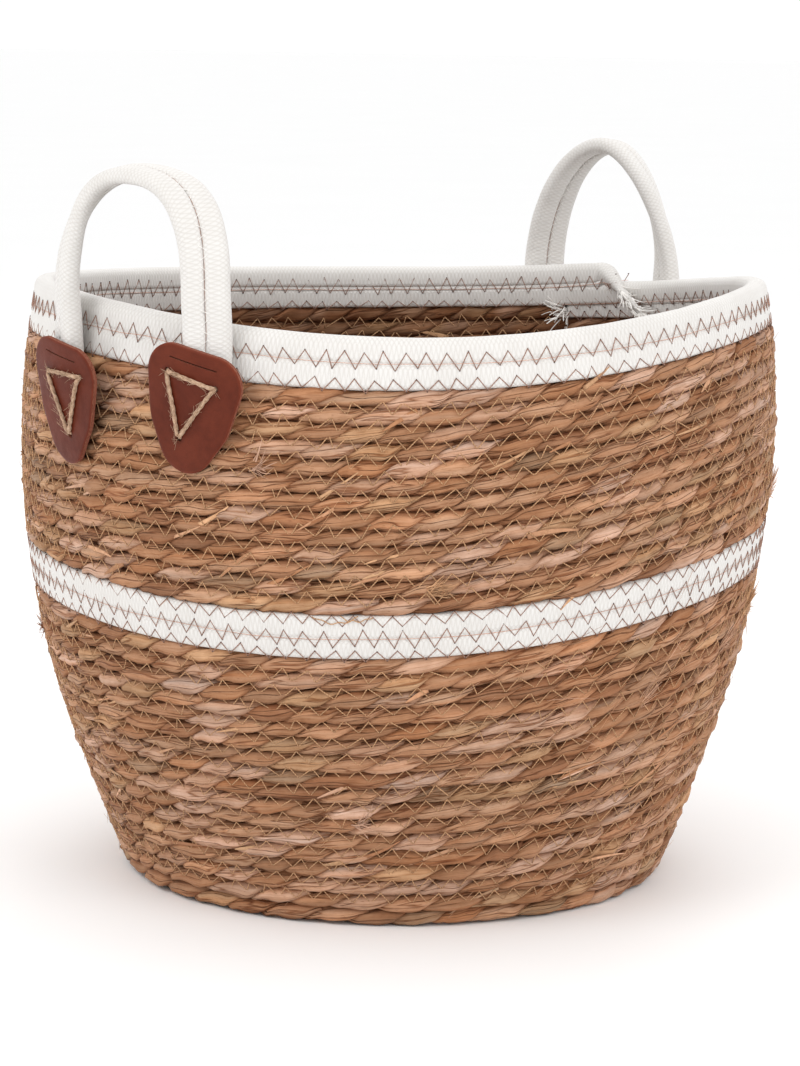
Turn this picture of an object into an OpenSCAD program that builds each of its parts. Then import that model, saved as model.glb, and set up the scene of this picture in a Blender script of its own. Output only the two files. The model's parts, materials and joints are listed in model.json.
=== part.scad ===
// Round storage basket: a seagrass rope coiled and sewn into a bowl-like wall, with a
// two-turn cotton band, a two-turn cotton rim and two cotton-rope loop handles whose
// ends are covered by leather patches. The origin is the middle of the underside.

/* [Basket] */
// Height from the underside to the top of the rim
basket_h = 232; // [200:1:260]
// Radius at which the leaning wall meets the floor line
base_r = 109; // [95:1:115]
// Largest radius of the wall, at the belly
belly_r = 150; // [140:1:160]
// Height of the belly above the underside
belly_z = 170; // [150:1:185]
// Radius of the wall at the height of the rim
mouth_r = 144; // [138:1:148]
// Outward lean of the lower wall, in degrees
wall_lean = 21; // [18:0.5:22]

/* [Seagrass coil] */
// Height of one course below the band
lower_pitch = 6.8; // [6.2:0.1:7]
// Number of courses below the band, with the one at floor level
lower_courses = 17; // [15:1:18]
// Height of one course above the band
upper_pitch = 6.2; // [5.8:0.1:6.6]
// Number of courses above the band
upper_courses = 13; // [11:1:14]
// Thickness of the seagrass wall
grass_t = 7.2; // [6.5:0.1:8]
// Width of one round of the coil in the floor
floor_pitch = 6.4; // [6:0.1:7]
// Depth of the groove between two courses
groove = 1.5; // [1:0.1:1.6]

/* [Cotton band and rim] */
// Height of one course of the band
band_pitch = 8.3; // [7.5:0.1:9]
// Thickness of the band
band_t = 7.8; // [7.2:0.1:8.4]
// Thickness of the rim
rim_t = 9; // [8.4:0.1:9.6]
// Diameter of the sewing thread
thread_d = 0.6; // [0.4:0.05:0.6]

/* [Handles] */
// How far round from +X the handle by the rope's end stands; the other one is at -X
handle_shift = 3; // [0:0.5:6]
// Half of the angle between the two legs of a handle
leg_spread = 12.5; // [12:0.5:16]
// Width of one rope of the handle strap
strand_w = 9.2; // [8:0.1:10]
// Thickness of one rope of the handle strap
strand_t = 7.4; // [6.5:0.1:8]
// Height of the handle above the rim
loop_h = 54; // [45:1:65]
// How far the top of the loop leans outward
loop_lean = 5; // [0:0.5:10]
// Height at which the legs end, under the leather
leg_foot_z = 209.5; // [208:0.5:212]

/* [Leather patches] */
// Height of the middle of the patch
patch_z = 197; // [194:0.5:199]
// Thickness of the leather
leather_t = 2.2; // [1.6:0.1:2.6]
// Distance of the middle of the patch from the wall
patch_standoff = 5.2; // [5:0.1:6]
// Outward lean of the top of the patch, in degrees
patch_tilt = 8.5; // [8:0.5:10]
// Turn of the patch about its own middle, in degrees
patch_turn = 10; // [0:1:15]
// Diameter of the lacing twine
twine_d = 1.8; // [1.4:0.1:2]

/* [Hidden] */

$fn = 96;

seagrass = "#b98a5c";
cotton = "#f1eeea";
leather = "#7a3c2c";
jute = "#b39a76";
beige_thread = "#c9ab80";
brown_thread = "#7d5a46";

// Heights at which the wall changes from one rope to the next
band_z = lower_pitch * lower_courses;
upper_z = band_z + 2 * band_pitch;
rim_z = upper_z + upper_pitch * upper_courses;
rim_pitch = (basket_h - rim_z) / 2;
floor_t = lower_pitch;

// The wall runs straight at wall_lean, then follows one arc to the belly and another above
lean_run = belly_r - base_r;
arc_start_z = (lean_run - belly_z * tan(wall_lean / 2)) / (tan(wall_lean) - tan(wall_lean / 2));
belly_arc_r = (belly_z - arc_start_z) / sin(wall_lean);
neck_drop = belly_r - mouth_r;
neck_rise = basket_h - belly_z;
neck_arc_r = (neck_rise * neck_rise + neck_drop * neck_drop) / (2 * neck_drop);

function arc_sag(radius, run) = radius - sqrt(radius * radius - run * run);

function outer_r(z) =
    z < arc_start_z ? base_r + z * tan(wall_lean)
    : z < belly_z ? belly_r - arc_sag(belly_arc_r, belly_z - z)
    : belly_r - arc_sag(neck_arc_r, z - belly_z);

// Depth of the groove at a fraction f of the way across a course: 0 at its crest
function hollow(f) = groove * (1 - sin(180 * f));

STEPS = 6;

// Points of one side of a stack of courses, from its lowest course upward
function outer_side(z0, pitch, courses) = [
    for (i = [0 : courses - 1], j = [0 : STEPS - (i < courses - 1 ? 1 : 0)])
        let (f = j / STEPS, z = z0 + pitch * (i + f)) [outer_r(z) - hollow(f), z]];

function inner_side(z0, pitch, courses, t) = [
    for (p = outer_side(z0, pitch, courses))
        let (f = ((p[1] - z0) / pitch) % 1) [outer_r(p[1]) - t + hollow(f), p[1]]];

function reversed(list) = [for (i = [len(list) - 1 : -1 : 0]) list[i]];

// ---- Coiled wall -------------------------------------------------------------

module course_stack(z0, pitch, courses, t) {
    rotate_extrude()
        polygon(concat(outer_side(z0, pitch, courses),
                       reversed(inner_side(z0, pitch, courses, t))));
}

// Rings of thread, square in section, in the grooves between the courses, outside and inside
module thread_rings(heights, t) {
    stand = thread_d / 2 + 0.15;
    for (z = heights) {
        rotate_extrude()
            translate([outer_r(z) - groove + stand, z])
                circle(d = thread_d, $fn = 4);
        rotate_extrude()
            translate([outer_r(z) - t + groove - stand, z])
                circle(d = thread_d, $fn = 4);
    }
}

function joints_between(z0, pitch, first, last) = [for (i = [first : last]) z0 + pitch * i];

// ---- Floor -------------------------------------------------------------------

floor_edge = outer_r(floor_t) - grass_t + groove;
floor_rounds = floor(floor_edge / floor_pitch) - 1;
underside_groove = 1;
land = 0.66;

// The underside is a flat land for each round, with a narrow groove before the next
function underside() = [
    for (k = [1 : floor_rounds], j = [0 : 2])
        [floor_pitch * k + (j - 1) * floor_pitch * (1 - land) / 2,
         j == 1 ? underside_groove : 0]];

// The lowest course turns under the floor in a quarter ellipse
corner_run = grass_t / 2;
function floor_corner() = [
    for (a = [-90 : 15 : 0])
        let (mid_z = floor_t / 2)
            [outer_r(mid_z) - corner_run + corner_run * cos(a), mid_z + mid_z * sin(a)]];

function corner_top() = [
    for (j = [STEPS / 2 + 1 : STEPS])
        let (f = j / STEPS, z = floor_t * f) [outer_r(z) - hollow(f), z]];

function floor_top() = [
    for (k = [floor_rounds : -1 : 0], j = [0 : STEPS - 1])
        [floor_pitch * (k + 1 - j / STEPS), floor_t - hollow(j / STEPS)]];

module base_coil() {
    color(seagrass)
        rotate_extrude()
            polygon(concat([[0, 0]], underside(), floor_corner(), corner_top(),
                           [[floor_edge, floor_t]], floor_top(), [[0, floor_t - groove]]));
}

module base_stitching() {
    stand = thread_d / 2 + 0.15;
    color(beige_thread)
        for (k = [1 : floor_rounds]) {
            rotate_extrude()
                translate([floor_pitch * k, floor_t - groove + stand])
                    circle(d = thread_d, $fn = 4);
            rotate_extrude()
                translate([floor_pitch * k, underside_groove * 0.56])
                    circle(d = 0.4, $fn = 4);
        }
}

// ---- Wall nodes --------------------------------------------------------------

module lower_wall_coil() {
    color(seagrass)
        course_stack(floor_t, lower_pitch, lower_courses - 1, grass_t);
}

module lower_wall_stitching() {
    color(beige_thread)
        thread_rings(joints_between(0, lower_pitch, 2, lower_courses - 1), grass_t);
}

module band_rope() {
    color(cotton)
        course_stack(band_z, band_pitch, 2, band_t);
}

module band_stitching() {
    color(brown_thread)
        thread_rings(joints_between(band_z, band_pitch, 0, 2), band_t);
}

module upper_wall_coil() {
    color(seagrass)
        course_stack(upper_z, upper_pitch, upper_courses, grass_t);
}

module upper_wall_stitching() {
    color(beige_thread)
        thread_rings(joints_between(upper_z, upper_pitch, 1, upper_courses - 1), grass_t);
}

// ---- Rim ---------------------------------------------------------------------

rim_mid_z = rim_z + 1.5 * rim_pitch;
rim_mid_r = outer_r(rim_mid_z) - rim_t / 2;

// The top course of the rim is closed by a half ellipse
function rim_crown() = [
    for (a = [15 : 15 : 165])
        [rim_mid_r + rim_t / 2 * cos(a), rim_mid_z + rim_pitch / 2 * sin(a)]];

function below(points, z) = [for (p = points) if (p[1] <= z + 0.001) p];

module rim_rope() {
    color(cotton)
        rotate_extrude()
            polygon(concat(below(outer_side(rim_z, rim_pitch, 2), rim_mid_z),
                           rim_crown(),
                           reversed(below(inner_side(rim_z, rim_pitch, 2, rim_t), rim_mid_z))));
}

module rim_stitching() {
    color(brown_thread)
        thread_rings(joints_between(rim_z, rim_pitch, 0, 1), rim_t);
}

// A place on a circle about the basket's axis
function ring_point(r, angle, z) = [r * cos(angle), r * sin(angle), z];

module rod(p, q, d) {
    run = q - p;
    across = norm([run[0], run[1]]);
    translate(p)
        rotate([0, atan2(across, run[2]), atan2(run[1], run[0])])
            cylinder(h = norm(run), d = d);
}

// Frayed ends of the rim rope, which lie on the inside of the wall by the right handle:
// the last few centimetres tuck down over the rim, and the first start below it
end_angle = -3;
start_angle = 9;
end_d = 6;
start_d = 5;

module rim_rope_ends() {
    end_r = outer_r(rim_mid_z) - rim_t - 0.5 - end_d / 2;
    start_z = rim_z - 4.5;
    start_r = outer_r(start_z) - grass_t - 0.6 - start_d / 2;
    color(cotton) {
        rod(ring_point(end_r, end_angle, basket_h - 5),
            ring_point(end_r, end_angle - 7, rim_z - 1), end_d);
        rod(ring_point(start_r, start_angle, start_z),
            ring_point(start_r, start_angle + 4, start_z - 2), start_d);
    }
}

// ---- Handle ropes ------------------------------------------------------------

// One ring of an elliptical rope: half width a along w and half thickness b along n
function rope_ring(c, w, n, a, b, sides) = [
    for (k = [0 : sides - 1]) c + a * cos(360 * k / sides) * w + b * sin(360 * k / sides) * n];

// A closed tube through rings of equal count
module tube(rings) {
    m = len(rings[0]);
    last = len(rings) - 1;
    polyhedron(
        points = [for (ring = rings, p = ring) p],
        faces = concat(
            [[for (k = [0 : m - 1]) k]],
            [for (i = [0 : last - 1], k = [0 : m - 1])
                let (a = i * m + k, b = i * m + (k + 1) % m) [a, a + m, b + m, b]],
            [[for (k = [m - 1 : -1 : 0]) last * m + k]]),
        convexity = 8);
}

SIDES = 12;
strand_gap = strand_w / 2 + 0.05;
outward = [1, 0, 0];
up = [0, 0, 1];

// A leg stands against the rim and the wall in the frame of its own angle, with its two
// ropes side by side. It stops a hair below the turning loop.
hinge_z = basket_h + 1;
flex_gap = 0.35;
leg_top_z = hinge_z - strand_t / 2 - flex_gap;
leg_clear = 0.5;

function leg_centre(z, side) =
    [outer_r(min(z, rim_mid_z)) + leg_clear + strand_t / 2, side * strand_gap, z];

// Points along a leg: a rounded foot and a straight run up to its top
function leg_rings(side) = concat(
    [for (a = [75 : -25 : 25])
        rope_ring(leg_centre(leg_foot_z + strand_t / 2 * (1 - sin(a)), side), [0, 1, 0], outward,
                  strand_w / 2 * cos(a), strand_t / 2 * cos(a), SIDES)],
    [for (i = [0 : 4])
        let (foot = leg_foot_z + strand_t / 2, z = foot + (leg_top_z - foot) * i / 4)
            rope_ring(leg_centre(z, side), [0, 1, 0], outward,
                      strand_w / 2, strand_t / 2, SIDES)]);

module leg(angle) {
    color(cotton)
        rotate([0, 0, angle])
            for (side = [-1, 1])
                tube(leg_rings(side));
}

seam_n = 0.36 * strand_t;

module leg_seam(angle) {
    rotate([0, 0, angle])
        tube([for (i = [0 : 4])
            let (z = leg_foot_z + 4 + (leg_top_z - leg_foot_z - 4) * i / 4)
                rope_ring(leg_centre(z, 0) + seam_n * outward, [0, 1, 0], outward,
                          0.35, 0.35, 8)]);
}

// The loop is a squarish arch in the plane of its handle. Its two ropes lie side by side
// at the legs and roll over towards the top, so the strap bends the easy way.
hinge_r = outer_r(rim_mid_z) * cos(leg_spread) + strand_t / 2 + 2.6;
loop_half = (outer_r(rim_mid_z) + strand_t / 2) * sin(leg_spread);
loop_rise = loop_h - 1 - strand_t / 2;
ARCH_POWER = 0.83;
ROLL_TOP = 85;

function arch(q) = [0, (cos(q) < 0 ? -1 : 1) * loop_half * pow(abs(cos(q)), ARCH_POWER),
                    loop_rise * pow(abs(sin(q)), ARCH_POWER)];
function loop_centre(q) =
    let (p = arch(q)) [hinge_r + loop_lean * p[2] / loop_rise, p[1], hinge_z + p[2]];
function arch_out(q) =
    q <= 0 ? [0, 1, 0] : q >= 180 ? [0, -1, 0]
    : let (d = arch(q + 1) - arch(q - 1), l = norm(d)) [0, d[2] / l, -d[1] / l];
function roll(q) = ROLL_TOP * pow(abs(sin(q)), 1.5);
function strap_w(q) = sin(roll(q)) * outward - cos(roll(q)) * arch_out(q);
function strap_n(q) = cos(roll(q)) * outward + sin(roll(q)) * arch_out(q);

// side -1 is the outer rope and 1 the inner one; offset moves a thread off the strap's face
function loop_rings(side, offset, a, b, sides) = [
    for (q = [0 : 6 : 180])
        rope_ring(loop_centre(q) + side * strand_gap * strap_w(q) + offset * strap_n(q),
                  strap_w(q), strap_n(q), a, b, sides)];

// Domed ends, round about the hinge line, which let the loop turn without touching a leg
function loop_dome(q, side) = [
    for (a = [20 : 20 : 80])
        rope_ring(loop_centre(q) + side * strand_gap * strap_w(q) - strand_t / 2 * sin(a) * up,
                  strap_w(q), strap_n(q), strand_w / 2 * cos(a), strand_t / 2 * cos(a), SIDES)];

module loop_rope(angle, side) {
    color(cotton)
        rotate([0, 0, angle])
            tube(concat(reversed(loop_dome(0, side)),
                        loop_rings(side, 0, strand_w / 2, strand_t / 2, SIDES),
                        loop_dome(180, side)));
}

module loop_seam(angle) {
    color(brown_thread)
        rotate([0, 0, angle])
            tube(loop_rings(0, seam_n, 0.35, 0.35, 8));
}

// ---- Leather patches ---------------------------------------------------------

// Places in the plane of a patch, seen from outside: x to the right and y up
lace_holes = [[-10.8, 11], [9.4, 10], [-2.5, -13]];
slit_w = 19.4;
slit_y = 16.4;
twine_hole_d = 2.6;

module patch_outline() {
    hull() {
        translate([-8.6, 10.5]) circle(r = 11, $fn = 32);
        translate([8.2, 10.5]) circle(r = 11, $fn = 32);
        translate([0, -2]) circle(r = 17, $fn = 32);
        translate([0.2, -14.2]) circle(r = 11.2, $fn = 32);
    }
}

// Puts a flat drawing on the wall at an angle about the axis, tilted and turned
module on_wall(angle, turn) {
    rotate([0, 0, angle])
        translate([outer_r(patch_z) + patch_standoff, 0, patch_z])
            rotate([0, patch_tilt, 0])
                rotate([90, 0, 90])
                    rotate([0, 0, turn])
                        children();
}

module patch(angle, turn) {
    color(leather)
        on_wall(angle, turn)
            difference() {
                linear_extrude(leather_t)
                    patch_outline();
                for (p = lace_holes)
                    translate([p[0], p[1], -1])
                        cylinder(d = twine_hole_d, h = leather_t + 2, $fn = 24);
                translate([-0.9 - slit_w / 2, slit_y, -1])
                    cube([slit_w, 0.6, leather_t + 2]);
            }
}

// Three runs of twine on the face of the leather, knotted at the holes and led through them
module lacing(angle, turn) {
    face_z = leather_t + 0.1 + twine_d / 2;
    color(jute)
        on_wall(angle, turn)
            union() {
                for (i = [0 : 2]) {
                    p = lace_holes[i];
                    q = lace_holes[(i + 1) % 3];
                    rod([p[0], p[1], face_z], [q[0], q[1], face_z], twine_d);
                    translate([p[0], p[1], face_z + 0.05])
                        sphere(d = twine_d + 0.3, $fn = 24);
                    translate([p[0], p[1], -1.2])
                        cylinder(d = twine_d - 0.2, h = face_z + 1.2, $fn = 24);
                }
            }
}

// ---- Angles of the legs ------------------------------------------------------

left_angle = 180;
right_angle = handle_shift;
left_front = left_angle + leg_spread;
left_rear = left_angle - leg_spread;
right_front = right_angle - leg_spread;
right_rear = right_angle + leg_spread;

module leg_seams(first, second) {
    color(brown_thread) {
        leg_seam(first);
        leg_seam(second);
    }
}

base_coil();
base_stitching();
lower_wall_coil();
lower_wall_stitching();
band_rope();
band_stitching();
upper_wall_coil();
upper_wall_stitching();
rim_rope();
rim_stitching();
rim_rope_ends();
leg(left_front);  // left_front_leg
leg(left_rear);  // left_rear_leg
leg(right_front);  // right_front_leg
leg(right_rear);  // right_rear_leg
leg_seams(left_front, left_rear);  // left_leg_seams
leg_seams(right_front, right_rear);  // right_leg_seams
loop_rope(left_angle, -1);  // left_outer_rope
loop_rope(left_angle, 1);  // left_inner_rope
loop_seam(left_angle);  // left_loop_seam
loop_rope(right_angle, -1);  // right_outer_rope
loop_rope(right_angle, 1);  // right_inner_rope
loop_seam(right_angle);  // right_loop_seam
patch(left_front, -patch_turn);  // left_front_patch
patch(left_rear, patch_turn);  // left_rear_patch
patch(right_front, patch_turn);  // right_front_patch
patch(right_rear, -patch_turn);  // right_rear_patch
lacing(left_front, -patch_turn);  // left_front_lacing
lacing(left_rear, patch_turn);  // left_rear_lacing
lacing(right_front, patch_turn);  // right_front_lacing
lacing(right_rear, -patch_turn);  // right_rear_lacing
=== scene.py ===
"""Looks of a round seagrass storage basket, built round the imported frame.

The wall is one rope that climbs as it coils: twisted seagrass, two rounds of white
cotton, seagrass again and two rounds of cotton at the rim, all sewn with zigzag thread.
Lengths are in metres.
"""
import json
import math

import bpy
import numpy as np
from mathutils import Matrix, Vector


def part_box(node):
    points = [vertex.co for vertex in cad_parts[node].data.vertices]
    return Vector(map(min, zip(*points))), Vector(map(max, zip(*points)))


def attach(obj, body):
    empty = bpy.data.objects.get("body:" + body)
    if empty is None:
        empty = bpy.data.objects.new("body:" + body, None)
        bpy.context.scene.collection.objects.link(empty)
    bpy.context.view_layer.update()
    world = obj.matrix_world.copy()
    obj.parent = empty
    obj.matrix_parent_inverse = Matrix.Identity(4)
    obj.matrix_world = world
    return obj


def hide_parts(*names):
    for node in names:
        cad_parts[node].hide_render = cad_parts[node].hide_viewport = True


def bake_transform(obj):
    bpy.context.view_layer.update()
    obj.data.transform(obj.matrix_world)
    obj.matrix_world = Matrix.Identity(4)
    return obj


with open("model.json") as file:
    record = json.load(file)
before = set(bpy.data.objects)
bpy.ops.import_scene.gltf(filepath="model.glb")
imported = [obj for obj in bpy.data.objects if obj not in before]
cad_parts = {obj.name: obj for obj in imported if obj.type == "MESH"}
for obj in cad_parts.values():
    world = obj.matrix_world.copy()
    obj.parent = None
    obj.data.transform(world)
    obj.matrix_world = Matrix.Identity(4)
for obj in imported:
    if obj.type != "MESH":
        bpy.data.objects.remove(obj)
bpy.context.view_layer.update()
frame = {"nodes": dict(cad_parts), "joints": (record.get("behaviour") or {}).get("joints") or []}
MM = 0.001
TAU = 2 * math.pi

# ---- What the frame says -----------------------------------------------------

nodes = frame["nodes"]
joints = {j["name"]: j for j in frame["joints"]}


def node_points(*names):
    """Corner points of CAD nodes, as one array."""
    parts = []
    for name in names:
        mesh = nodes[name].data
        flat = np.empty(len(mesh.vertices) * 3)
        mesh.vertices.foreach_get("co", flat)
        parts.append(flat.reshape(-1, 3))
    return np.concatenate(parts)


def top_of(name):
    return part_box(name)[1][2]


def foot_of(name):
    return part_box(name)[0][2]


# Courses: the floor's outermost round is the first of the lower wall
COURSES = {"lower": 17, "band": 2, "upper": 13, "rim": 2}
STEP_ANGLE = math.radians(-3)          # where the rim rope ends and each rope changes
course_edges = np.cumsum([0] + list(COURSES.values()))
height_edges = np.array([0, top_of("lower_wall_coil"), top_of("band_rope"),
                         top_of("upper_wall_coil"), top_of("rim_rope")])
BAND_START, UPPER_START, RIM_START, RIM_END = (int(c) for c in course_edges[1:])
rim_top = float(height_edges[-1])
rim_foot = float(height_edges[-2])
band_mid = float(height_edges[1:3].mean())


def course_height(course):
    """Height of the lower edge of a course in the flat stack, and on past the top one."""
    course = np.asarray(course, float)
    z = np.interp(course, course_edges, height_edges)
    rim_pitch = (height_edges[-1] - height_edges[-2]) / COURSES["rim"]
    return z + np.maximum(course - RIM_END, 0) * rim_pitch


def wall_profile():
    """Outer and inner radius of the wall at the crest of each course."""
    points = node_points("base_coil", "lower_wall_coil", "band_rope", "upper_wall_coil",
                         "rim_rope")
    radius = np.hypot(points[:, 0], points[:, 1])
    middles = course_height(np.arange(RIM_END) + 0.5)
    outer, inner = [], []
    for z in middles:
        near = np.abs(points[:, 2] - z) < 0.6 * MM
        outer.append(radius[near].max())
        near &= radius > radius[near].max() - 20 * MM
        inner.append(radius[near].min())
    inner[0] = inner[1] - (outer[1] - outer[0])
    return middles, np.array(outer), np.array(inner)


profile_z, profile_outer, profile_inner = wall_profile()


def outer_r(z):
    """Radius of the wall's outer crests, sloping on below the lowest one."""
    inside = np.interp(z, profile_z, profile_outer)
    slope = (profile_outer[1] - profile_outer[0]) / (profile_z[1] - profile_z[0])
    return inside + np.minimum(np.asarray(z) - profile_z[0], 0) * slope


def wall_depth(z):
    """Thickness of the wall's rope at a height."""
    return np.interp(z, profile_z, profile_outer - profile_inner)


# A hand-sewn basket isn't true. Height is added to the band and to the rim as waves round
# the basket: (times round, height, angle of the first crest in degrees).
RIM_WAVES = ((1, 3.1 * MM, 285), (2, 5.5 * MM, 310), (3, 1.3 * MM, 292))
BAND_WAVES = ((1, 7.0 * MM, 300), (2, 7.0 * MM, 308))

BACK_ANGLE = math.radians(40)
BACK_SQUEEZE = 3.4 * MM      # the rim's two ropes are this much slimmer there


def waves(angle, terms):
    return sum(h * np.cos(n * (angle - math.radians(a))) for n, h, a in terms)


def lift(angle, z):
    """How far the slump of the basket moves a point of the wall up."""
    band_share = np.interp(z, [0, band_mid, rim_top], [0, 1, 0])
    rim_share = np.interp(z, [band_mid, rim_top], [0, 1])
    squeeze = np.interp(z, [band_mid, rim_foot, rim_top], [0, BACK_SQUEEZE, 0])
    squeeze = squeeze * np.clip(np.cos(angle - BACK_ANGLE), 0, 1)
    return band_share * waves(angle, BAND_WAVES) + rim_share * waves(angle, RIM_WAVES) + squeeze


# ---- Mesh making -------------------------------------------------------------

UP = np.array([0, 0, 1.0])


def norm(v):
    return v / np.maximum(np.linalg.norm(v, axis=-1, keepdims=True), 1e-12)


def outward(angle):
    """The level way out from the basket's axis at an angle."""
    return np.array([math.cos(angle), math.sin(angle), 0])


def sideways(angle):
    """The level way round the basket at an angle."""
    return np.array([-math.sin(angle), math.cos(angle), 0])


def polar(r, angle, z=0.0):
    """Points at radii, angles and heights, one row for each angle."""
    return np.stack([r * np.cos(angle), r * np.sin(angle),
                     np.broadcast_to(z, np.shape(angle))], -1)


def ease(f):
    """A share from 0 to 1 that starts and ends softly."""
    return f * f * (3 - 2 * f)


def link(name, data):
    """An object of some data, put into the scene."""
    obj = bpy.data.objects.new(name, data)
    bpy.context.scene.collection.objects.link(obj)
    return obj


def set_tint(mesh, tint):
    """A colour per point, which the material multiplies its own by."""
    rgba = np.ones((len(mesh.vertices), 4), np.float32)
    rgba[:, :3] = tint
    colours = mesh.color_attributes.new("tint", "FLOAT_COLOR", "POINT")
    colours.data.foreach_set("color", rgba.ravel())


class Tubes:
    """Collects tubes of any section and turns them into one object."""

    def __init__(self):
        self.verts, self.quads, self.uvs, self.tints, self.count = [], [], [], [], 0

    def add(self, rings, length, tint=None, caps=True):
        """rings is (n, m, 3): n sections of m points. length is each section's distance along."""
        n, m, _ = rings.shape
        grid = np.arange(n * m).reshape(n, m)
        a, b = grid[:-1], grid[1:]
        quads = np.stack([a, np.roll(a, -1, 1), np.roll(b, -1, 1), b], -1).reshape(-1, 4)
        u = np.repeat(length[:, None], m, 1)
        u = np.stack([u[:-1], u[:-1], u[1:], u[1:]], -1)
        around = np.arange(m) / m
        v = np.stack([around, around + 1 / m, around + 1 / m, around], -1)
        v = np.broadcast_to(v, (n - 1, m, 4))
        uv = np.stack([u, v], -1).reshape(-1, 2)
        verts = rings.reshape(-1, 3)
        if tint is None:
            tint = np.ones((n * m, 3))
        tint = np.broadcast_to(tint, (n, m, 3)).reshape(-1, 3) if tint.ndim == 3 else tint
        if caps:
            ends = np.stack([rings[0].mean(0), rings[-1].mean(0)])
            first = np.stack([np.full(m, n * m), np.roll(grid[0], -1), grid[0],
                              grid[0]], -1)
            last = np.stack([np.full(m, n * m + 1), grid[-1], np.roll(grid[-1], -1),
                             np.roll(grid[-1], -1)], -1)
            quads = np.concatenate([quads, first, last])
            uv = np.concatenate([uv, np.zeros((8 * m, 2))])
            verts = np.concatenate([verts, ends])
            tint = np.concatenate([tint, tint[:1], tint[-1:]])
        self.verts.append(verts)
        self.quads.append(quads + self.count)
        self.uvs.append(uv)
        self.tints.append(tint)
        self.count += len(verts)

    def strand(self, path, hint, width, thick, sides, tint=None, caps=True):
        """A tube along a path: half sizes across it and towards hint, and one tint or none."""
        across, out = path_frames(path, hint)
        if tint is not None:
            tint = np.broadcast_to(tint, (len(path), sides, 3))
        self.add(ellipse_rings(path, across, out, width, thick, sides), along(path), tint, caps)

    def build(self, name, material, slot, *replaced, rides=True):
        """Makes the piece. A quad that repeats its last corner is a triangle."""
        verts, quads, uv = (np.concatenate(rows) for rows in (self.verts, self.quads, self.uvs))
        is_quad = quads[:, 2] != quads[:, 3]
        keep = np.ones(quads.shape, bool)
        keep[~is_quad, 3] = False
        sizes = np.where(is_quad, 4, 3)
        mesh = bpy.data.meshes.new(name)
        mesh.vertices.add(len(verts))
        mesh.vertices.foreach_set("co", verts.astype(np.float32).ravel())
        mesh.loops.add(int(sizes.sum()))
        mesh.loops.foreach_set("vertex_index", quads[keep].astype(np.int32))
        mesh.polygons.add(len(quads))
        mesh.polygons.foreach_set("loop_start", (np.cumsum(sizes) - sizes).astype(np.int32))
        mesh.polygons.foreach_set("use_smooth", np.ones(len(quads), bool))
        layer = mesh.uv_layers.new(name="UVMap")
        layer.data.foreach_set("uv", uv.reshape(-1, 4, 2)[keep].astype(np.float32).ravel())
        set_tint(mesh, np.concatenate(self.tints))
        mesh.update(calc_edges=True)
        mesh.materials.append(material)
        piece = link(name, mesh)
        assign(piece, slot, *replaced, rides=rides)
        return piece


def ellipse_rings(centre, across, out, half_w, half_t, sides, ripple=None):
    """Sections along a path: half_w along `across` and half_t along `out`."""
    a = np.arange(sides) / sides * TAU
    w = np.broadcast_to(np.asarray(half_w, float), (len(centre),))[:, None, None]
    t = np.broadcast_to(np.asarray(half_t, float), (len(centre),))[:, None, None]
    ring = (w * np.cos(a)[None, :, None] * across[:, None]
            + t * np.sin(a)[None, :, None] * out[:, None])
    if ripple is not None:
        ring = ring * ripple[..., None]
    return centre[:, None] + ring


def along(path):
    """Distance of each point of a path from its start."""
    return np.concatenate([[0], np.cumsum(np.linalg.norm(np.diff(path, axis=0), axis=1))])


def path_frames(path, hint):
    """Unit vectors across a path, the second as near as can be to hint."""
    run = norm(np.gradient(path, axis=0))
    across = norm(np.cross(run, hint))
    return across, norm(np.cross(across, run))


def wander(count, spacing, size, seed):
    """Smooth random values: one knot every `spacing` samples."""
    local = np.random.default_rng(seed)
    knots = int(count / spacing) + 4
    values = local.normal(0, size, knots)
    x = np.arange(count) / spacing
    i = x.astype(int)
    f = ease(x - i)
    return values[i] * (1 - f) + values[i + 1] * f


def assign(piece, slot, *replaced, rides=True):
    """Hides the CAD nodes a piece is drawn for and lets it ride on the basket; slot is not used."""
    if rides:
        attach(piece, "basket")
    if replaced:
        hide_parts(*replaced)


# ---- Colours and materials ---------------------------------------------------

def linear(r, g, b):
    """A colour given as 0 to 255 on screen, in the renderer's linear values."""
    c = np.array([r, g, b]) / 255
    return np.where(c <= 0.04045, c / 12.92, ((c + 0.055) / 1.055) ** 2.4)


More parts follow.
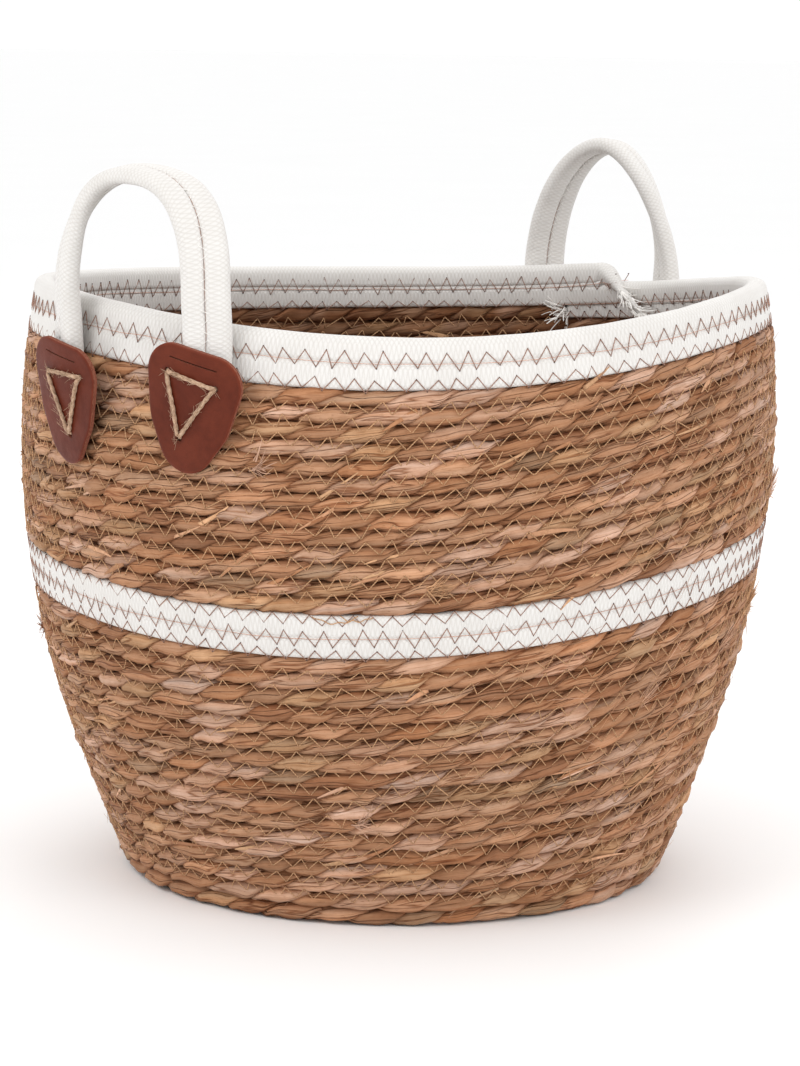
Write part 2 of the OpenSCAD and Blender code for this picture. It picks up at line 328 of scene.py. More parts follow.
class Nodes:
    """Short ways to add shader nodes to one material."""

    def __init__(self, name, roughness, **sockets):
        self.material = bpy.data.materials.new(name)
        self.material.use_nodes = True
        self.tree = self.material.node_tree
        self.shader = self.tree.nodes["Principled BSDF"]
        self.shader.inputs["Roughness"].default_value = roughness
        for key, value in sockets.items():
            self.shader.inputs[key.replace("_", " ")].default_value = value

    def add(self, kind, links=None, **settings):
        node = self.tree.nodes.new(kind)
        for key, value in settings.items():
            setattr(node, key, value)
        for key, value in (links or {}).items():
            socket = node.inputs[key]
            if isinstance(value, bpy.types.NodeSocket):
                self.tree.links.new(value, socket)
            else:
                socket.default_value = value
        return node

    def math(self, operation, a, b=0.0):
        return self.add("ShaderNodeMath", {0: a, 1: b}, operation=operation).outputs[0]

    def uv(self, scale=(1, 1, 1)):
        coords = self.add("ShaderNodeUVMap", uv_map="UVMap").outputs[0]
        return self.add("ShaderNodeMapping", {"Vector": coords, "Scale": scale}).outputs[0]

    def place(self, scale=(1, 1, 1)):
        coords = self.add("ShaderNodeTexCoord").outputs["Object"]
        return self.add("ShaderNodeMapping", {"Vector": coords, "Scale": scale}).outputs[0]

    def noise(self, vector, scale, detail=3.0, rough=0.5):
        return self.add("ShaderNodeTexNoise", {"Vector": vector, "Scale": scale,
                                               "Detail": detail, "Roughness": rough}).outputs[0]

    def ramp(self, value, *stops):
        node = self.add("ShaderNodeValToRGB", {0: value})
        while len(node.color_ramp.elements) < len(stops):
            node.color_ramp.elements.new(0.5)
        for element, (at, colour) in zip(node.color_ramp.elements, stops):
            element.position = at
            element.color = (*colour, 1)
        return node.outputs[0]

    def mix(self, factor, a, b, blend="MIX"):
        node = self.add("ShaderNodeMix", data_type="RGBA", blend_type=blend)
        for i, value in ((0, factor), (6, a), (7, b)):
            if isinstance(value, bpy.types.NodeSocket):
                self.tree.links.new(value, node.inputs[i])
            elif i:
                node.inputs[i].default_value = (*value, 1)
            else:
                node.inputs[i].default_value = value
        return node.outputs[2]

    def times(self, colour, value, *stops):
        """A colour multiplied by a ramp over some value."""
        return self.mix(1.0, colour, self.ramp(value, *stops), "MULTIPLY")

    def tint(self):
        return self.add("ShaderNodeVertexColor", layer_name="tint").outputs[0]

    def feed(self, value, socket="Base Color"):
        self.tree.links.new(value, self.shader.inputs[socket])

    def bump(self, *layers):
        """layers are (height, distance in metres), the coarsest first."""
        normal = None
        for height, distance in layers:
            links = {"Height": height, "Distance": distance, "Strength": 1.0}
            if normal:
                links["Normal"] = normal
            normal = self.add("ShaderNodeBump", links).outputs[0]
        self.feed(normal, "Normal")


PLAIT = 0.0017               # one plait of the cotton's braid
PLY_TURN = 0.0011            # one turn of the thread's two plies


def grey(v):
    return (v, v, v)


def seagrass_material():
    """Dry leaf: fine fibres along each strand, folds with painted shade in their creases, and small
    specks.
    """
    m = Nodes("seagrass", 0.65, Specular_IOR_Level=0.22)
    fibre = m.noise(m.uv((70, 34, 1)), 1.0, 3.0, 0.6)
    blade = m.noise(m.uv((30, 7, 1)), 1.0, 2.0, 0.5)
    fold = m.noise(m.uv((20, 4.5, 1)), 1.0, 2.0, 0.5)
    # Painted shade: thin dark lines where the fold noise crosses its middle, for the shade in the
    # leaf's creases
    crease = m.math("ABSOLUTE", m.math("SUBTRACT", fold, 0.5))
    crease = m.ramp(crease, (0.0, grey(0.0)), (0.022, grey(1.0)))
    specks = m.noise(m.uv((420, 46, 1)), 1.0, 2.0, 0.5)
    blotch = m.noise(m.place(), 150, 3.0, 0.6)
    colour = m.times(m.tint(), fibre, (0.3, (0.76, 0.68, 0.59)), (0.5, grey(1.0)),
                     (0.72, (1.02, 1.045, 1.07)))
    colour = m.times(colour, blade, (0.32, (0.84, 0.77, 0.70)), (0.52, grey(1.0)),
                     (0.72, (1.01, 1.04, 1.09)))
    colour = m.times(colour, crease, (0.0, (0.52, 0.37, 0.26)), (1.0, grey(1.0)))
    colour = m.times(colour, specks, (0.28, (0.62, 0.54, 0.48)), (0.36, grey(1.0)))
    colour = m.times(colour, blotch, (0.3, (0.84, 0.80, 0.76)), (0.6, grey(1.0)))
    m.feed(colour)
    m.feed(m.ramp(fibre, (0.3, grey(0.8)), (0.7, grey(0.55))), "Roughness")
    m.bump((blade, 0.6 * MM), (crease, 0.35 * MM), (fibre, 0.3 * MM))
    return m.material


def splinter_material():
    """Loose splinters and hairs of the same leaf, too thin for its folds to show."""
    m = Nodes("seagrass_splinters", 0.65, Specular_IOR_Level=0.22)
    patchy = m.noise(m.place(), 420, 2.0, 0.5)
    m.feed(m.times(m.tint(), patchy, (0.3, (0.80, 0.76, 0.72)), (0.6, grey(1.05))))
    m.bump((patchy, 0.1 * MM))
    return m.material


def cotton_material():
    """White braided cotton: small slanted plaits that cross, with painted shade in their valleys,
    and a soft nap.
    """
    m = Nodes("white_cotton", 0.85, Specular_IOR_Level=0.2, Sheen_Weight=0.25,
              Sheen_Roughness=0.5)
    coords = m.add("ShaderNodeSeparateXYZ", {0: m.uv()})
    along_rope, around = coords.outputs[0], coords.outputs[1]
    run = m.math("MULTIPLY", along_rope, math.pi / PLAIT)
    turn = m.math("MULTIPLY", around, math.pi * 9)
    over = m.math("ABSOLUTE", m.math("SINE", m.math("ADD", run, turn)))
    under = m.math("ABSOLUTE", m.math("SINE", m.math("SUBTRACT", run, turn)))
    plait = m.math("MULTIPLY", over, under)
    nap = m.noise(m.place(), 2600, 2.0, 0.6)
    cloud = m.noise(m.place(), 60, 2.0, 0.5)
    # Painted shade: the colour darkens in the valleys between the plaits
    colour = m.times(m.tint(), plait, (0.0, (0.64, 0.612, 0.578)), (0.35, (0.70, 0.68, 0.655)),
                     (1.0, (0.735, 0.716, 0.693)))
    m.feed(m.times(colour, cloud, (0.35, (0.96, 0.955, 0.95)), (0.65, grey(1.0))))
    m.bump((plait, 0.11 * MM), (nap, 0.12 * MM))
    return m.material


def fibre_material():
    """Loose white cotton fibres and thread, too fine for the braid; brighter than the braided
    cotton, painted light for fibres in shade.
    """
    m = Nodes("white_cotton_fibre", 0.85, Specular_IOR_Level=0.2)
    nap = m.noise(m.place(), 700, 2.0, 0.6)
    m.feed(m.times(m.tint(), nap, (0.3, (0.80, 0.77, 0.73)), (0.7, (0.87, 0.85, 0.82))))
    m.bump((nap, 0.05 * MM))
    return m.material


def thread_material(name, dark, light):
    """Sewing thread: two plies, seen as a fine slanted wave, with painted shade in the groove
    between them.
    """
    m = Nodes(name, 0.7, Specular_IOR_Level=0.3)
    coords = m.add("ShaderNodeSeparateXYZ", {0: m.uv()})
    slant = m.math("ADD", m.math("MULTIPLY", coords.outputs[0], TAU / PLY_TURN),
                   m.math("MULTIPLY", coords.outputs[1], TAU))
    ply = m.math("SINE", slant)
    half = m.math("ADD", m.math("MULTIPLY", ply, 0.5), 0.5)
    patchy = m.noise(m.place(), 320, 2.0, 0.5)
    # Painted shade: the dark colour falls in the groove between the plies
    colour = m.mix(half, dark, light)
    colour = m.times(colour, patchy, (0.3, grey(0.8)), (0.7, grey(1.15)))
    m.feed(m.mix(1.0, colour, m.tint(), "MULTIPLY"))
    m.bump((half, 0.06 * MM))
    return m.material


def leather_material():
    """Smooth red-brown leather with fine pores, faint creases and a tint: painted highlight at the
    edge.
    """
    m = Nodes("leather", 0.4, Specular_IOR_Level=0.13)
    vector = m.place()
    pores = m.add("ShaderNodeTexVoronoi", {"Vector": vector, "Scale": 1500.0},
                  feature="DISTANCE_TO_EDGE").outputs[0]
    crease = m.noise(vector, 260, 4.0, 0.6)
    cloud = m.noise(vector, 55, 3.0, 0.5)
    tone = m.ramp(cloud, (0.3, linear(87, 34, 19)), (0.7, linear(99, 42, 25)))
    tone = m.times(tone, crease, (0.35, grey(0.88)), (0.6, grey(1.04)))
    m.feed(m.mix(1.0, tone, m.tint(), "MULTIPLY"))
    m.feed(m.ramp(crease, (0.3, grey(0.5)), (0.7, grey(0.36))), "Roughness")
    m.bump((crease, 0.08 * MM), (pores, 0.05 * MM))
    return m.material


def leather_edge_material():
    """The raw cut edge: paler, fibrous and dull."""
    m = Nodes("leather_edge", 0.9, Specular_IOR_Level=0.2)
    fibres = m.noise(m.place((1, 1, 0.4)), 1400, 3.0, 0.7)
    m.feed(m.ramp(fibres, (0.3, linear(104, 52, 38)), (0.7, linear(146, 92, 72))))
    m.bump((fibres, 0.15 * MM))
    return m.material


def jute_material():
    """Hairy jute twine."""
    m = Nodes("jute_twine", 0.85, Specular_IOR_Level=0.2)
    fibre = m.noise(m.uv((700, 9, 1)), 1.0, 3.0, 0.6)
    cloud = m.noise(m.place(), 260, 2.0, 0.5)
    tone = m.ramp(fibre, (0.3, linear(146, 114, 90)), (0.5, linear(190, 157, 130)),
                  (0.75, linear(214, 188, 163)))
    m.feed(m.times(tone, cloud, (0.3, grey(0.82)), (0.7, grey(1.08))))
    m.bump((fibre, 0.25 * MM))
    return m.material


def floor_material():
    m = Nodes("floor", 0.7)
    cloud = m.noise(m.place(), 3.0, 2.0, 0.5)
    m.feed(m.ramp(cloud, (0.3, grey(0.955)), (0.7, grey(0.965))))
    return m.material


SEAGRASS = seagrass_material()
SPLINTER = splinter_material()
COTTON = cotton_material()
FIBRE = fibre_material()
BROWN = thread_material("brown_thread", linear(136, 102, 88), linear(168, 134, 118))
BEIGE = thread_material("beige_thread", linear(166, 124, 88), linear(196, 156, 118))
LEATHER = leather_material()
LEATHER_EDGE = leather_edge_material()
JUTE = jute_material()


# ---- The climbing coil -------------------------------------------------------
# A place on the coil is counted in turns from where it leaves the floor: turn 0 to 17 is
# the lower wall, to 19 the band, to 32 the upper wall and to 34 the rim. Seen from above
# the coil climbs clockwise.

def coil_angle(turn):
    return STEP_ANGLE - TAU * turn


def lower_edge(turn):
    return course_height(np.maximum(turn - 0.5, 0))


def upper_edge(turn):
    return course_height(turn + 0.5)


def wall_axes(angle, z):
    """Unit vectors at a place on the wall: outward, and up along the wall."""
    step = 0.5 * MM
    slope = (outer_r(z + step) - outer_r(z - step)) / (2 * step)
    radial = polar(1.0, angle)
    slope = np.asarray(slope)[..., None]
    return norm(radial - slope * UP), norm(slope * radial + UP)


def wall_point(angle, z, depth=0.0):
    """A point at a depth under the wall's outer crest line, with the basket's slump."""
    out, _ = wall_axes(angle, z)
    base = polar(outer_r(z), angle, np.asarray(z) + lift(angle, z))
    return base - out * np.asarray(depth)[..., None]


def coil_samples(first, last, spacing):
    """Turns spread evenly along the rope from one turn to another."""
    mean_r = float(outer_r(course_height((first + last) / 2 + 0.5)))
    return np.linspace(first, last, int(abs(last - first) * TAU * mean_r / spacing) + 2)


def rope_frame(turn, squeeze=1.0):
    """Centre line, directions and half sizes of the coil's rope at each turn."""
    low, high = lower_edge(turn), upper_edge(turn)
    z = (low + high) / 2
    angle = coil_angle(turn)
    out, climb = wall_axes(angle, z)
    half_t = wall_depth(z) / 2
    height = high - low + lift(angle, high) - lift(angle, low)
    half_h = height / 2 / climb[:, 2] * squeeze
    return wall_point(angle, z, half_t), climb, out, half_h, half_t


# ---- Seagrass rope -----------------------------------------------------------

LEAF_COLOURS = np.array([
    linear(183, 136, 103), linear(173, 127, 94), linear(190, 146, 114),
    linear(196, 155, 128), linear(201, 162, 138), linear(169, 120, 85),
    linear(155, 109, 78), linear(194, 151, 114), linear(178, 140, 106),
    linear(164, 130, 102)])
LEAF_SHARE = np.array([0.17, 0.16, 0.16, 0.15, 0.11, 0.08, 0.05, 0.06, 0.03, 0.03])
LAY = 34 * MM            # one full twist of the rope's two strands
# Painted shade: the rope's core is a darkened leaf colour, for the shade in the gaps between the
# strands
CORE_SHADE_COLOUR = LEAF_COLOURS[1] * np.array([0.46, 0.38, 0.32])
CORE_SIDES = 8


def leaf_tints(phase, sides, seed):
    """Colour of a strand: one leaf for each twist, with paler and darker blades in it."""
    local = np.random.default_rng(seed)
    leaf = np.floor(phase / TAU).astype(int)
    leaf -= leaf.min()
    count = leaf.max() + 2
    base = LEAF_COLOURS[local.choice(len(LEAF_COLOURS), count, p=LEAF_SHARE)]
    base = base * local.normal(0.96, 0.065, (count, 1))
    blades = local.normal(1.0, 0.08, (count, sides))
    blades = (blades + np.roll(blades, 1, 1)) / 2
    warm = local.normal(0, 0.035, (count, sides))
    f = (phase / TAU) % 1
    f = np.clip((f - 0.85) / 0.15, 0, 1)[:, None, None]
    tones = base[:, None, :] * blades[..., None]
    tones = tones * np.stack([1 + warm, np.ones_like(warm), 1 - warm], -1)
    return np.clip(tones[leaf] * (1 - f) + tones[leaf + 1] * f, 0.01, 1)


def strand_rings(centre, climb, out, half_h, half_t, which, seed, sides, spacing):
    """Sections of one of the two strands that twist round each other in the rope.

    A section's first point always faces up the wall, so that the leaf's fibres run along
    the strand and the seam of its UVs stays between two courses.
    """
    n = len(centre)
    run = along(centre)
    drift = wander(n, 45 * MM / spacing, 0.7, seed // 100 + 7)
    phase = run / LAY * TAU + drift + which * math.pi
    # A strand lies long on the rope's face and crosses to the back in a short way
    phase = phase + 0.09 * np.sin(2 * phase)
    swell = 1 + wander(n, 13 * MM / spacing, 0.15, seed + 2)
    flat = 1 + wander(n, 17 * MM / spacing, 0.13, seed + 3)
    up_share, out_share = np.cos(phase), np.sin(phase)
    sway = out * wander(n, 22 * MM / spacing, 0.30 * MM, seed // 100 + 11)[:, None]
    middle = centre + sway + (climb * (0.39 * half_h * up_share)[:, None]
                              + out * (0.42 * half_t * out_share)[:, None])
    # An oval, longest across the way from the rope's middle to the strand
    turned = np.arctan2(half_t * out_share, half_h * up_share)
    away = climb * np.cos(turned)[:, None] + out * np.sin(turned)[:, None]
    side = out * np.cos(turned)[:, None] - climb * np.sin(turned)[:, None]
    size_away = 0.66 * np.hypot(half_h * np.cos(turned), half_t * np.sin(turned)) * swell
    size_side = 0.94 * np.hypot(half_h * np.sin(turned), half_t * np.cos(turned)) * flat
    around = np.arange(sides) / sides * TAU
    a = around[None] - turned[:, None]
    wide_fold = wander(n, 25 * MM / spacing, 2.0, seed + 4)[:, None]
    fine_fold = wander(n, 18 * MM / spacing, 2.5, seed + 5)[:, None]
    folds = (1 + 0.045 * np.sin(3 * around[None] + wide_fold)
             + 0.035 * np.sin(5 * around[None] + fine_fold)
             + np.random.default_rng(seed + 6).normal(0, 0.018, (n, sides)))
    reach_away = size_away[:, None] * np.cos(a) * folds
    reach_side = size_side[:, None] * np.sin(a) * folds
    rings = middle[:, None] + (reach_away[..., None] * away[:, None]
                               + reach_side[..., None] * side[:, None])
    # Painted shade: the leaf that faces into the basket is darkened for the shade inside it
    inside = np.clip(-0.2 - np.sin(around) * 1.2, 0, 1)[None, :, None]
    tints = leaf_tints(phase + math.pi / 2, sides, seed + 7)
    # Little light reaches the side that lies on the other strand
    hidden = np.clip((-0.2 - np.cos(a)) / 0.5, 0, 1)[..., None]
    tints = tints * (1 - hidden * np.array([0.36, 0.45, 0.52]))
    # nor the sides that press on the courses above and below
    height = ((rings - centre[:, None]) * climb[:, None]).sum(-1) / half_h[:, None]
    pressed = np.clip((np.abs(height) - 0.68) / 0.40, 0, 1)[..., None]
    tints = tints * (1 - pressed * np.array([0.44, 0.54, 0.61]))
    return rings, run, tints * (1 - inside * np.array([0.48, 0.54, 0.60]))


def seagrass_rope(name, frames, spacing, sides, seed, replaces):
    """The two strands of a stretch of rope and its core, each a piece of its own."""
    centre, climb, out, half_h, half_t = frames
    for which, letter in enumerate("ab"):
        rings, run, tints = strand_rings(centre, climb, out, half_h, half_t, which,
                                         seed + 20 * which, sides, spacing)
        tubes = Tubes()
        tubes.add(rings, run, tints)
        tubes.build(f"{name}_{letter}", SEAGRASS, "seagrass", replaces)
    centre, climb, out, half_h, half_t = (row[::3] for row in frames)
    core = Tubes()
    core.add(ellipse_rings(centre, climb, out, half_h * 1.06, half_t * 0.55, CORE_SIDES),
             along(centre), np.broadcast_to(CORE_SHADE_COLOUR, (len(centre), CORE_SIDES, 3)))
    core.build(f"{name}_core", SEAGRASS, "seagrass", replaces)


WALL_SPACING = 1.9 * MM
WALL_SIDES = 12
FLOOR_PITCH = 6.4 * MM                 # width of one round of the floor's spiral
START_ANGLE = math.radians(12)         # the rim rope starts this far before the step
start_turn = START_ANGLE / TAU


def build_walls():
    lower = coil_samples(0.0, BAND_START, WALL_SPACING)
    upper = coil_samples(UPPER_START, RIM_START - start_turn, WALL_SPACING)
    seagrass_rope("lower_wall_strand", rope_frame(lower), WALL_SPACING, WALL_SIDES, 100,
                  "lower_wall_coil")
    seagrass_rope("upper_wall_strand", rope_frame(upper), WALL_SPACING, WALL_SIDES, 300,
                  "upper_wall_coil")


def build_floor():
    """The floor's flat spiral, from its middle out to where the wall starts to climb."""
    thick = float(course_height(1))
    edge = float(outer_r(thick / 2)) - wall_depth(thick / 2) / 2
    rounds = edge / FLOOR_PITCH
    spacing = 2.6 * MM
    grow = np.sqrt(np.linspace((0.14 / rounds) ** 2, 1, int(math.pi * edge * rounds / spacing)))
    turn = grow * rounds - rounds
    r = edge + turn * FLOOR_PITCH
    angle = coil_angle(turn)
    radial = polar(1.0, angle)
    vertical = np.broadcast_to(UP, radial.shape)
    centre = radial * r[:, None] + vertical * thick / 2
    ones = np.ones(len(turn))
    frames = (centre, radial, vertical, ones * FLOOR_PITCH / 2, ones * thick / 2 * 0.97)
    seagrass_rope("floor_strand", frames, spacing, 9, 500, "base_coil")


# ---- Cotton ropes ------------------------------------------------------------

COTTON_SPACING = 1.4 * MM
FILL_R = 1.5 * MM                      # the fill of the groove between two cotton courses
FILL_DEPTH = 1.75 * MM                 # its middle, under the face of the wall
SQUASH = 1.03                          # the cotton courses press on each other
TAIL_START = math.radians(4.6)         # the rim rope leaves the rim this far before the step
TAIL_TURN = math.radians(13.0)         # how far round its end reaches, how far in, how far down
TAIL_INWARD = 7.5 * MM
TAIL_DROP = 17 * MM


def cotton_rings(centre, climb, out, half_h, half_t, sides=22, below=5.5, above=5.5, seed=0,
                 spacing=1.2 * MM):
    """A soft rope. below and above say how square its section is on each side of its middle:
    2 is round, and 4 or more is a side pressed flat by its neighbour."""
    n = len(centre)
    a = np.arange(sides) / sides * TAU
    c, s = np.cos(a)[None], np.sin(a)[None]
    power = np.where(c > 0, np.broadcast_to(above, (n,))[:, None],
                     np.broadcast_to(below, (n,))[:, None])
    c = np.sign(c) * np.abs(c) ** (2 / power)
    s = np.sign(s) * np.abs(s) ** (2 / power)
    puff = (1 + wander(n, 9 * MM / spacing, 0.010, seed)
            + wander(n, 40 * MM / spacing, 0.016, seed + 1))
    w = np.broadcast_to(half_h, (n,)) * puff
    t = np.broadcast_to(half_t, (n,)) * puff
    return (centre[:, None] + (w[:, None] * c)[..., None] * climb[:, None]
            + (t[:, None] * s)[..., None] * out[:, None])


def round_end(rings, length, at_start, reach):
    """Closes one end of a rope with a dome, by shrinking its last sections."""
    distance = length if at_start else length[-1] - length
    f = np.clip(distance / reach, 0, 1)
    scale = np.sqrt(np.clip(1 - (1 - f) ** 2, 0.02, 1))[:, None, None]
    middle = rings.mean(1, keepdims=True)
    return middle + (rings - middle) * scale


def fill_groove(tubes, first, last):
    """The soft shoulders of two cotton courses meet, inside and outside, nearly flush."""
    turn = coil_samples(first, last, 3 * MM)
    z = upper_edge(turn)
    angle = coil_angle(turn)
    out, _ = wall_axes(angle, z)
    for depth in (FILL_DEPTH, wall_depth(z) - FILL_DEPTH):
        tubes.strand(wall_point(angle, z, depth), out, FILL_R, FILL_R, 8)


def build_band():
    turn = coil_samples(BAND_START, UPPER_START, COTTON_SPACING)
    centre, climb, out, half_h, half_t = rope_frame(turn, SQUASH)
    rings = cotton_rings(centre, climb, out, half_h, half_t, seed=31)
    length = along(centre)
    rings = round_end(round_end(rings, length, True, 4 * MM), length, False, 4 * MM)
    tubes = Tubes()
    tubes.add(rings, length)
    fill_groove(tubes, BAND_START, UPPER_START - 1)
    tubes.build("band_cotton_rope", COTTON, "white_cotton", "band_rope")


def rim_tail(last_centre, angle):
    """Centre line of the rim rope's end, which slopes down the inside of the rim."""
    f = np.linspace(0, 1, 30)[1:]
    bend = angle - f * TAIL_TURN
    r = float(np.hypot(last_centre[0], last_centre[1])) - TAIL_INWARD * ease(np.clip(f * 1.5, 0, 1))
    z = last_centre[2] - TAIL_DROP * f ** 1.5
    return polar(r, bend, z)


def fray(tubes, root, direction, spread, count, reach, radius, seed, size=0.62 * MM, curl=0.35):
    """Loose cotton fibres that fan out of a rope's end."""
    local = np.random.default_rng(seed)
    side = norm(np.cross(direction, [0.3, 0.2, 0.9]))
    other = np.cross(direction, side)
    for _ in range(count):
        a, d = local.uniform(0, TAU), math.sqrt(local.uniform(0, 1)) * radius
        start = root + (side * math.cos(a) + other * math.sin(a)) * d
        lean = side * local.normal(0, spread) + other * local.normal(0, spread)
        way = norm(direction + lean)
        bend = side * local.normal(0, curl) + other * local.normal(0, curl)
        f = np.linspace(0, 1, 7)[:, None]
        far = reach * local.uniform(0.5, 1.15)
        path = start + far * (way * f + bend * f ** 2)
        thick = size * local.uniform(0.5, 1.0) * (1 - 0.6 * f[:, 0])
        tubes.strand(path, side + 0.1 * other, thick, thick * 0.7, 5)


def build_rim():
    turn = coil_samples(RIM_START - start_turn, RIM_END - TAIL_START / TAU, COTTON_SPACING)
    centre, climb, out, half_h, half_t = rope_frame(turn, SQUASH)
    # The first centimetres wedge in under the next round
    half_h = half_h * np.interp(turn - turn[0], [0, start_turn], [0.8, 1.0])
    tail = rim_tail(centre[-1], coil_angle(turn[-1]))
    t = len(tail)
    f = np.linspace(0, 1, t + 1)[1:]
    path = np.concatenate([centre, tail])
    hint = np.concatenate([out, norm(out[-1] * (1 - f)[:, None]
                                     + UP * (0.9 * f * (1 - f) * 4)[:, None]
                                     + out[-1] * 0.2)])
    across, facing = path_frames(path, hint)
    across *= np.sign((across[:10] * climb[:10]).sum())
    half_h, half_t = (
        np.concatenate([half, half[-1] * np.interp(f, [0, 0.25, 0.5, 1], taper)])
        for half, taper in ((half_h, [1, 0.88, 0.55, 0.42]), (half_t, [1, 0.75, 0.42, 0.28])))
    free = np.concatenate([np.interp(turn, [RIM_END - 1.03, RIM_END - 0.99], [5.5, 2.5]),
                           np.full(t, 2.5)])
    rings = cotton_rings(path, across, facing, half_h, half_t, above=free,
                         below=np.concatenate([np.full(len(turn), 5.5), np.full(t, 3.0)]), seed=51)
    length = along(path)
    rings = round_end(rings, length, True, 3 * MM)
    tubes = Tubes()
    tubes.add(rings, length)
    fill_groove(tubes, RIM_START, RIM_END - 1.01)
    tubes.build("rim_cotton_rope", COTTON, "white_cotton", "rim_rope")

    frayed = Tubes()
    end_way = norm(path[-1] - path[-6])
    fray(frayed, path[-1] - end_way * 2 * MM, end_way, 0.3, 40, 10 * MM, 2.2 * MM, 61)
    for back in (5, 9, 13, 17):
        way = norm(path[3 - back] - path[-back])
        fray(frayed, path[-back] - out[-1] * 0.8 * MM, norm(way - out[-1] * 0.08), 0.13, 12,
             8 * MM, 2.2 * MM, 61 + back)
    start_way = norm(path[0] - path[3])
    inward = -out[0]
    root = path[0] + inward * 2.2 * MM
    fray(frayed, root, norm(start_way + inward * 0.5), 0.45, 38, 10 * MM, 2.6 * MM, 62)
    fray(frayed, root, norm(start_way * 0.6 + inward - climb[0] * 0.5), 0.6, 22, 8 * MM,
         2.8 * MM, 63)
    frayed.build("rim_rope_frayed_ends", FIBRE, "white_cotton", "rim_rope_ends")

    whiskers = Tubes()
    along_rim = norm((tail[9] - tail[3]) * np.array([1, 1, 0.2]))
    neck = tail[5] - out[-1] * 4 * MM - np.array([0, 0, 2.5 * MM])
    fray(whiskers, neck, along_rim, 0.2, 9, 7 * MM, 1.2 * MM, 64, size=0.17 * MM,
         curl=0.15)
    whiskers.build("rim_loose_thread_ends", BROWN, "brown_thread")


# ---- Sewing thread -----------------------------------------------------------

# Painted shade: each needle hole is a dot of brown thread darkened for the shade in the hole
HOLE_SHADE_TINT = np.full((2, 6, 3), 0.28)   # a needle hole, of two sections with six points each
LINE_TINT = np.full(3, 2.2)            # the line under a zigzag is of a paler thread


def zigzag(tubes, first, last, period, height, proud, radius, inside, seed, dots,
           jitter=0.13, shift=0.0):
    """Thread sewn in a zigzag over the groove above each course, from turn to turn.

    height is from trough to peak, proud is how far the thread stands off the crest line,
    and dots puts a dark dot of painted shade in each needle hole.
    """
    local = np.random.default_rng(seed)
    mean_r = float(outer_r(upper_edge((first + last) / 2)))
    legs = int(abs(last - first) * TAU * mean_r / (period / 2))
    knots = np.linspace(first, last, legs + 1)
    knots[1:-1] += local.normal(0, jitter, legs - 1) * (last - first) / legs
    peak = np.where(np.arange(legs + 1) % 2, 0.5, -0.5) * height
    peak = peak * (1 + local.normal(0, 0.12, legs + 1)) + shift
    f = np.array([0, 0.06, 0.94] if inside else [0, 0.05, 0.5, 0.95])
    turn = (knots[:-1, None] * (1 - f) + knots[1:, None] * f).ravel()
    rise = (peak[:-1, None] * (1 - f) + peak[1:, None] * f).ravel()
    depth = np.tile(np.where(f == 0, 0.55 * MM, 0.0), legs)

    def point(turn, rise, off):
        z = upper_edge(turn)
        angle = coil_angle(turn)
        out, climb = wall_axes(angle, z)
        z = z + rise * climb[:, 2]
        # Inside, a seam between ropes of different thickness lies on the thicker one
        deep = np.maximum(wall_depth(z - 3 * MM), wall_depth(z + 3 * MM))
        return wall_point(angle, z, deep + off if inside else -off), out

    path, out = point(turn, rise, proud - depth + local.normal(0, 0.05 * MM, len(turn)))
    tubes.strand(path, out, radius, radius, 3 if inside else 4)
    if dots:
        low, out = point(knots, peak, np.full(legs + 1, proud - 0.5 * MM))
        high, _ = point(knots, peak, np.full(legs + 1, proud + 0.10 * MM))
        size = 0.30 * MM * local.uniform(0.7, 1.15, legs + 1)
        for a, b, o, r in zip(low, high, out, size):
            ends = np.stack([a, b])
            round_way = norm(np.cross(o, UP))
            radii = [r, r * 0.75]
            hole = ellipse_rings(ends, np.stack([round_way] * 2),
                                 np.stack([np.cross(round_way, o)] * 2), radii, radii, 6)
            tubes.add(hole, along(ends), HOLE_SHADE_TINT)


def thread_line(tubes, first, last, proud, radius, inside, seed):
    """The straight thread that lies along a groove under a zigzag."""
    turn = coil_samples(first, last, 6 * MM)
    z = upper_edge(turn) + wander(len(turn), 2.5, 0.25 * MM, seed)
    angle = coil_angle(turn)
    depth = wall_depth(z) + proud if inside else np.full(len(turn), -proud)
    point = wall_point(angle, z, depth)
    tubes.strand(point, wall_axes(angle, z)[0], radius, radius, 4, LINE_TINT)


GRASS_STITCH = dict(period=8.4 * MM, height=4.9 * MM, proud=0.05 * MM, radius=0.21 * MM,
                    dots=False, jitter=0.2)
COTTON_STITCH = dict(period=7.3 * MM, height=6.0 * MM, proud=0.05 * MM, radius=0.19 * MM,
                     dots=True)


def sew(name, seams, material, slot_name, replaces, seed):
    """Both faces of a run of seams. Each seam is (first turn, last turn, stitch, line or not)."""
    for inside, side in ((False, "outer"), (True, "inner")):
        tubes = Tubes()
        for k, (first, last, stitch, line) in enumerate(seams):
            zigzag(tubes, first, last, inside=inside, seed=seed + 10 * k + inside, **stitch)
            if line:
                thread_line(tubes, first, last, -0.22 * MM, 0.10 * MM, inside, seed + 5)
        tubes.build(f"{name}_{side}_thread", material, slot_name, replaces)


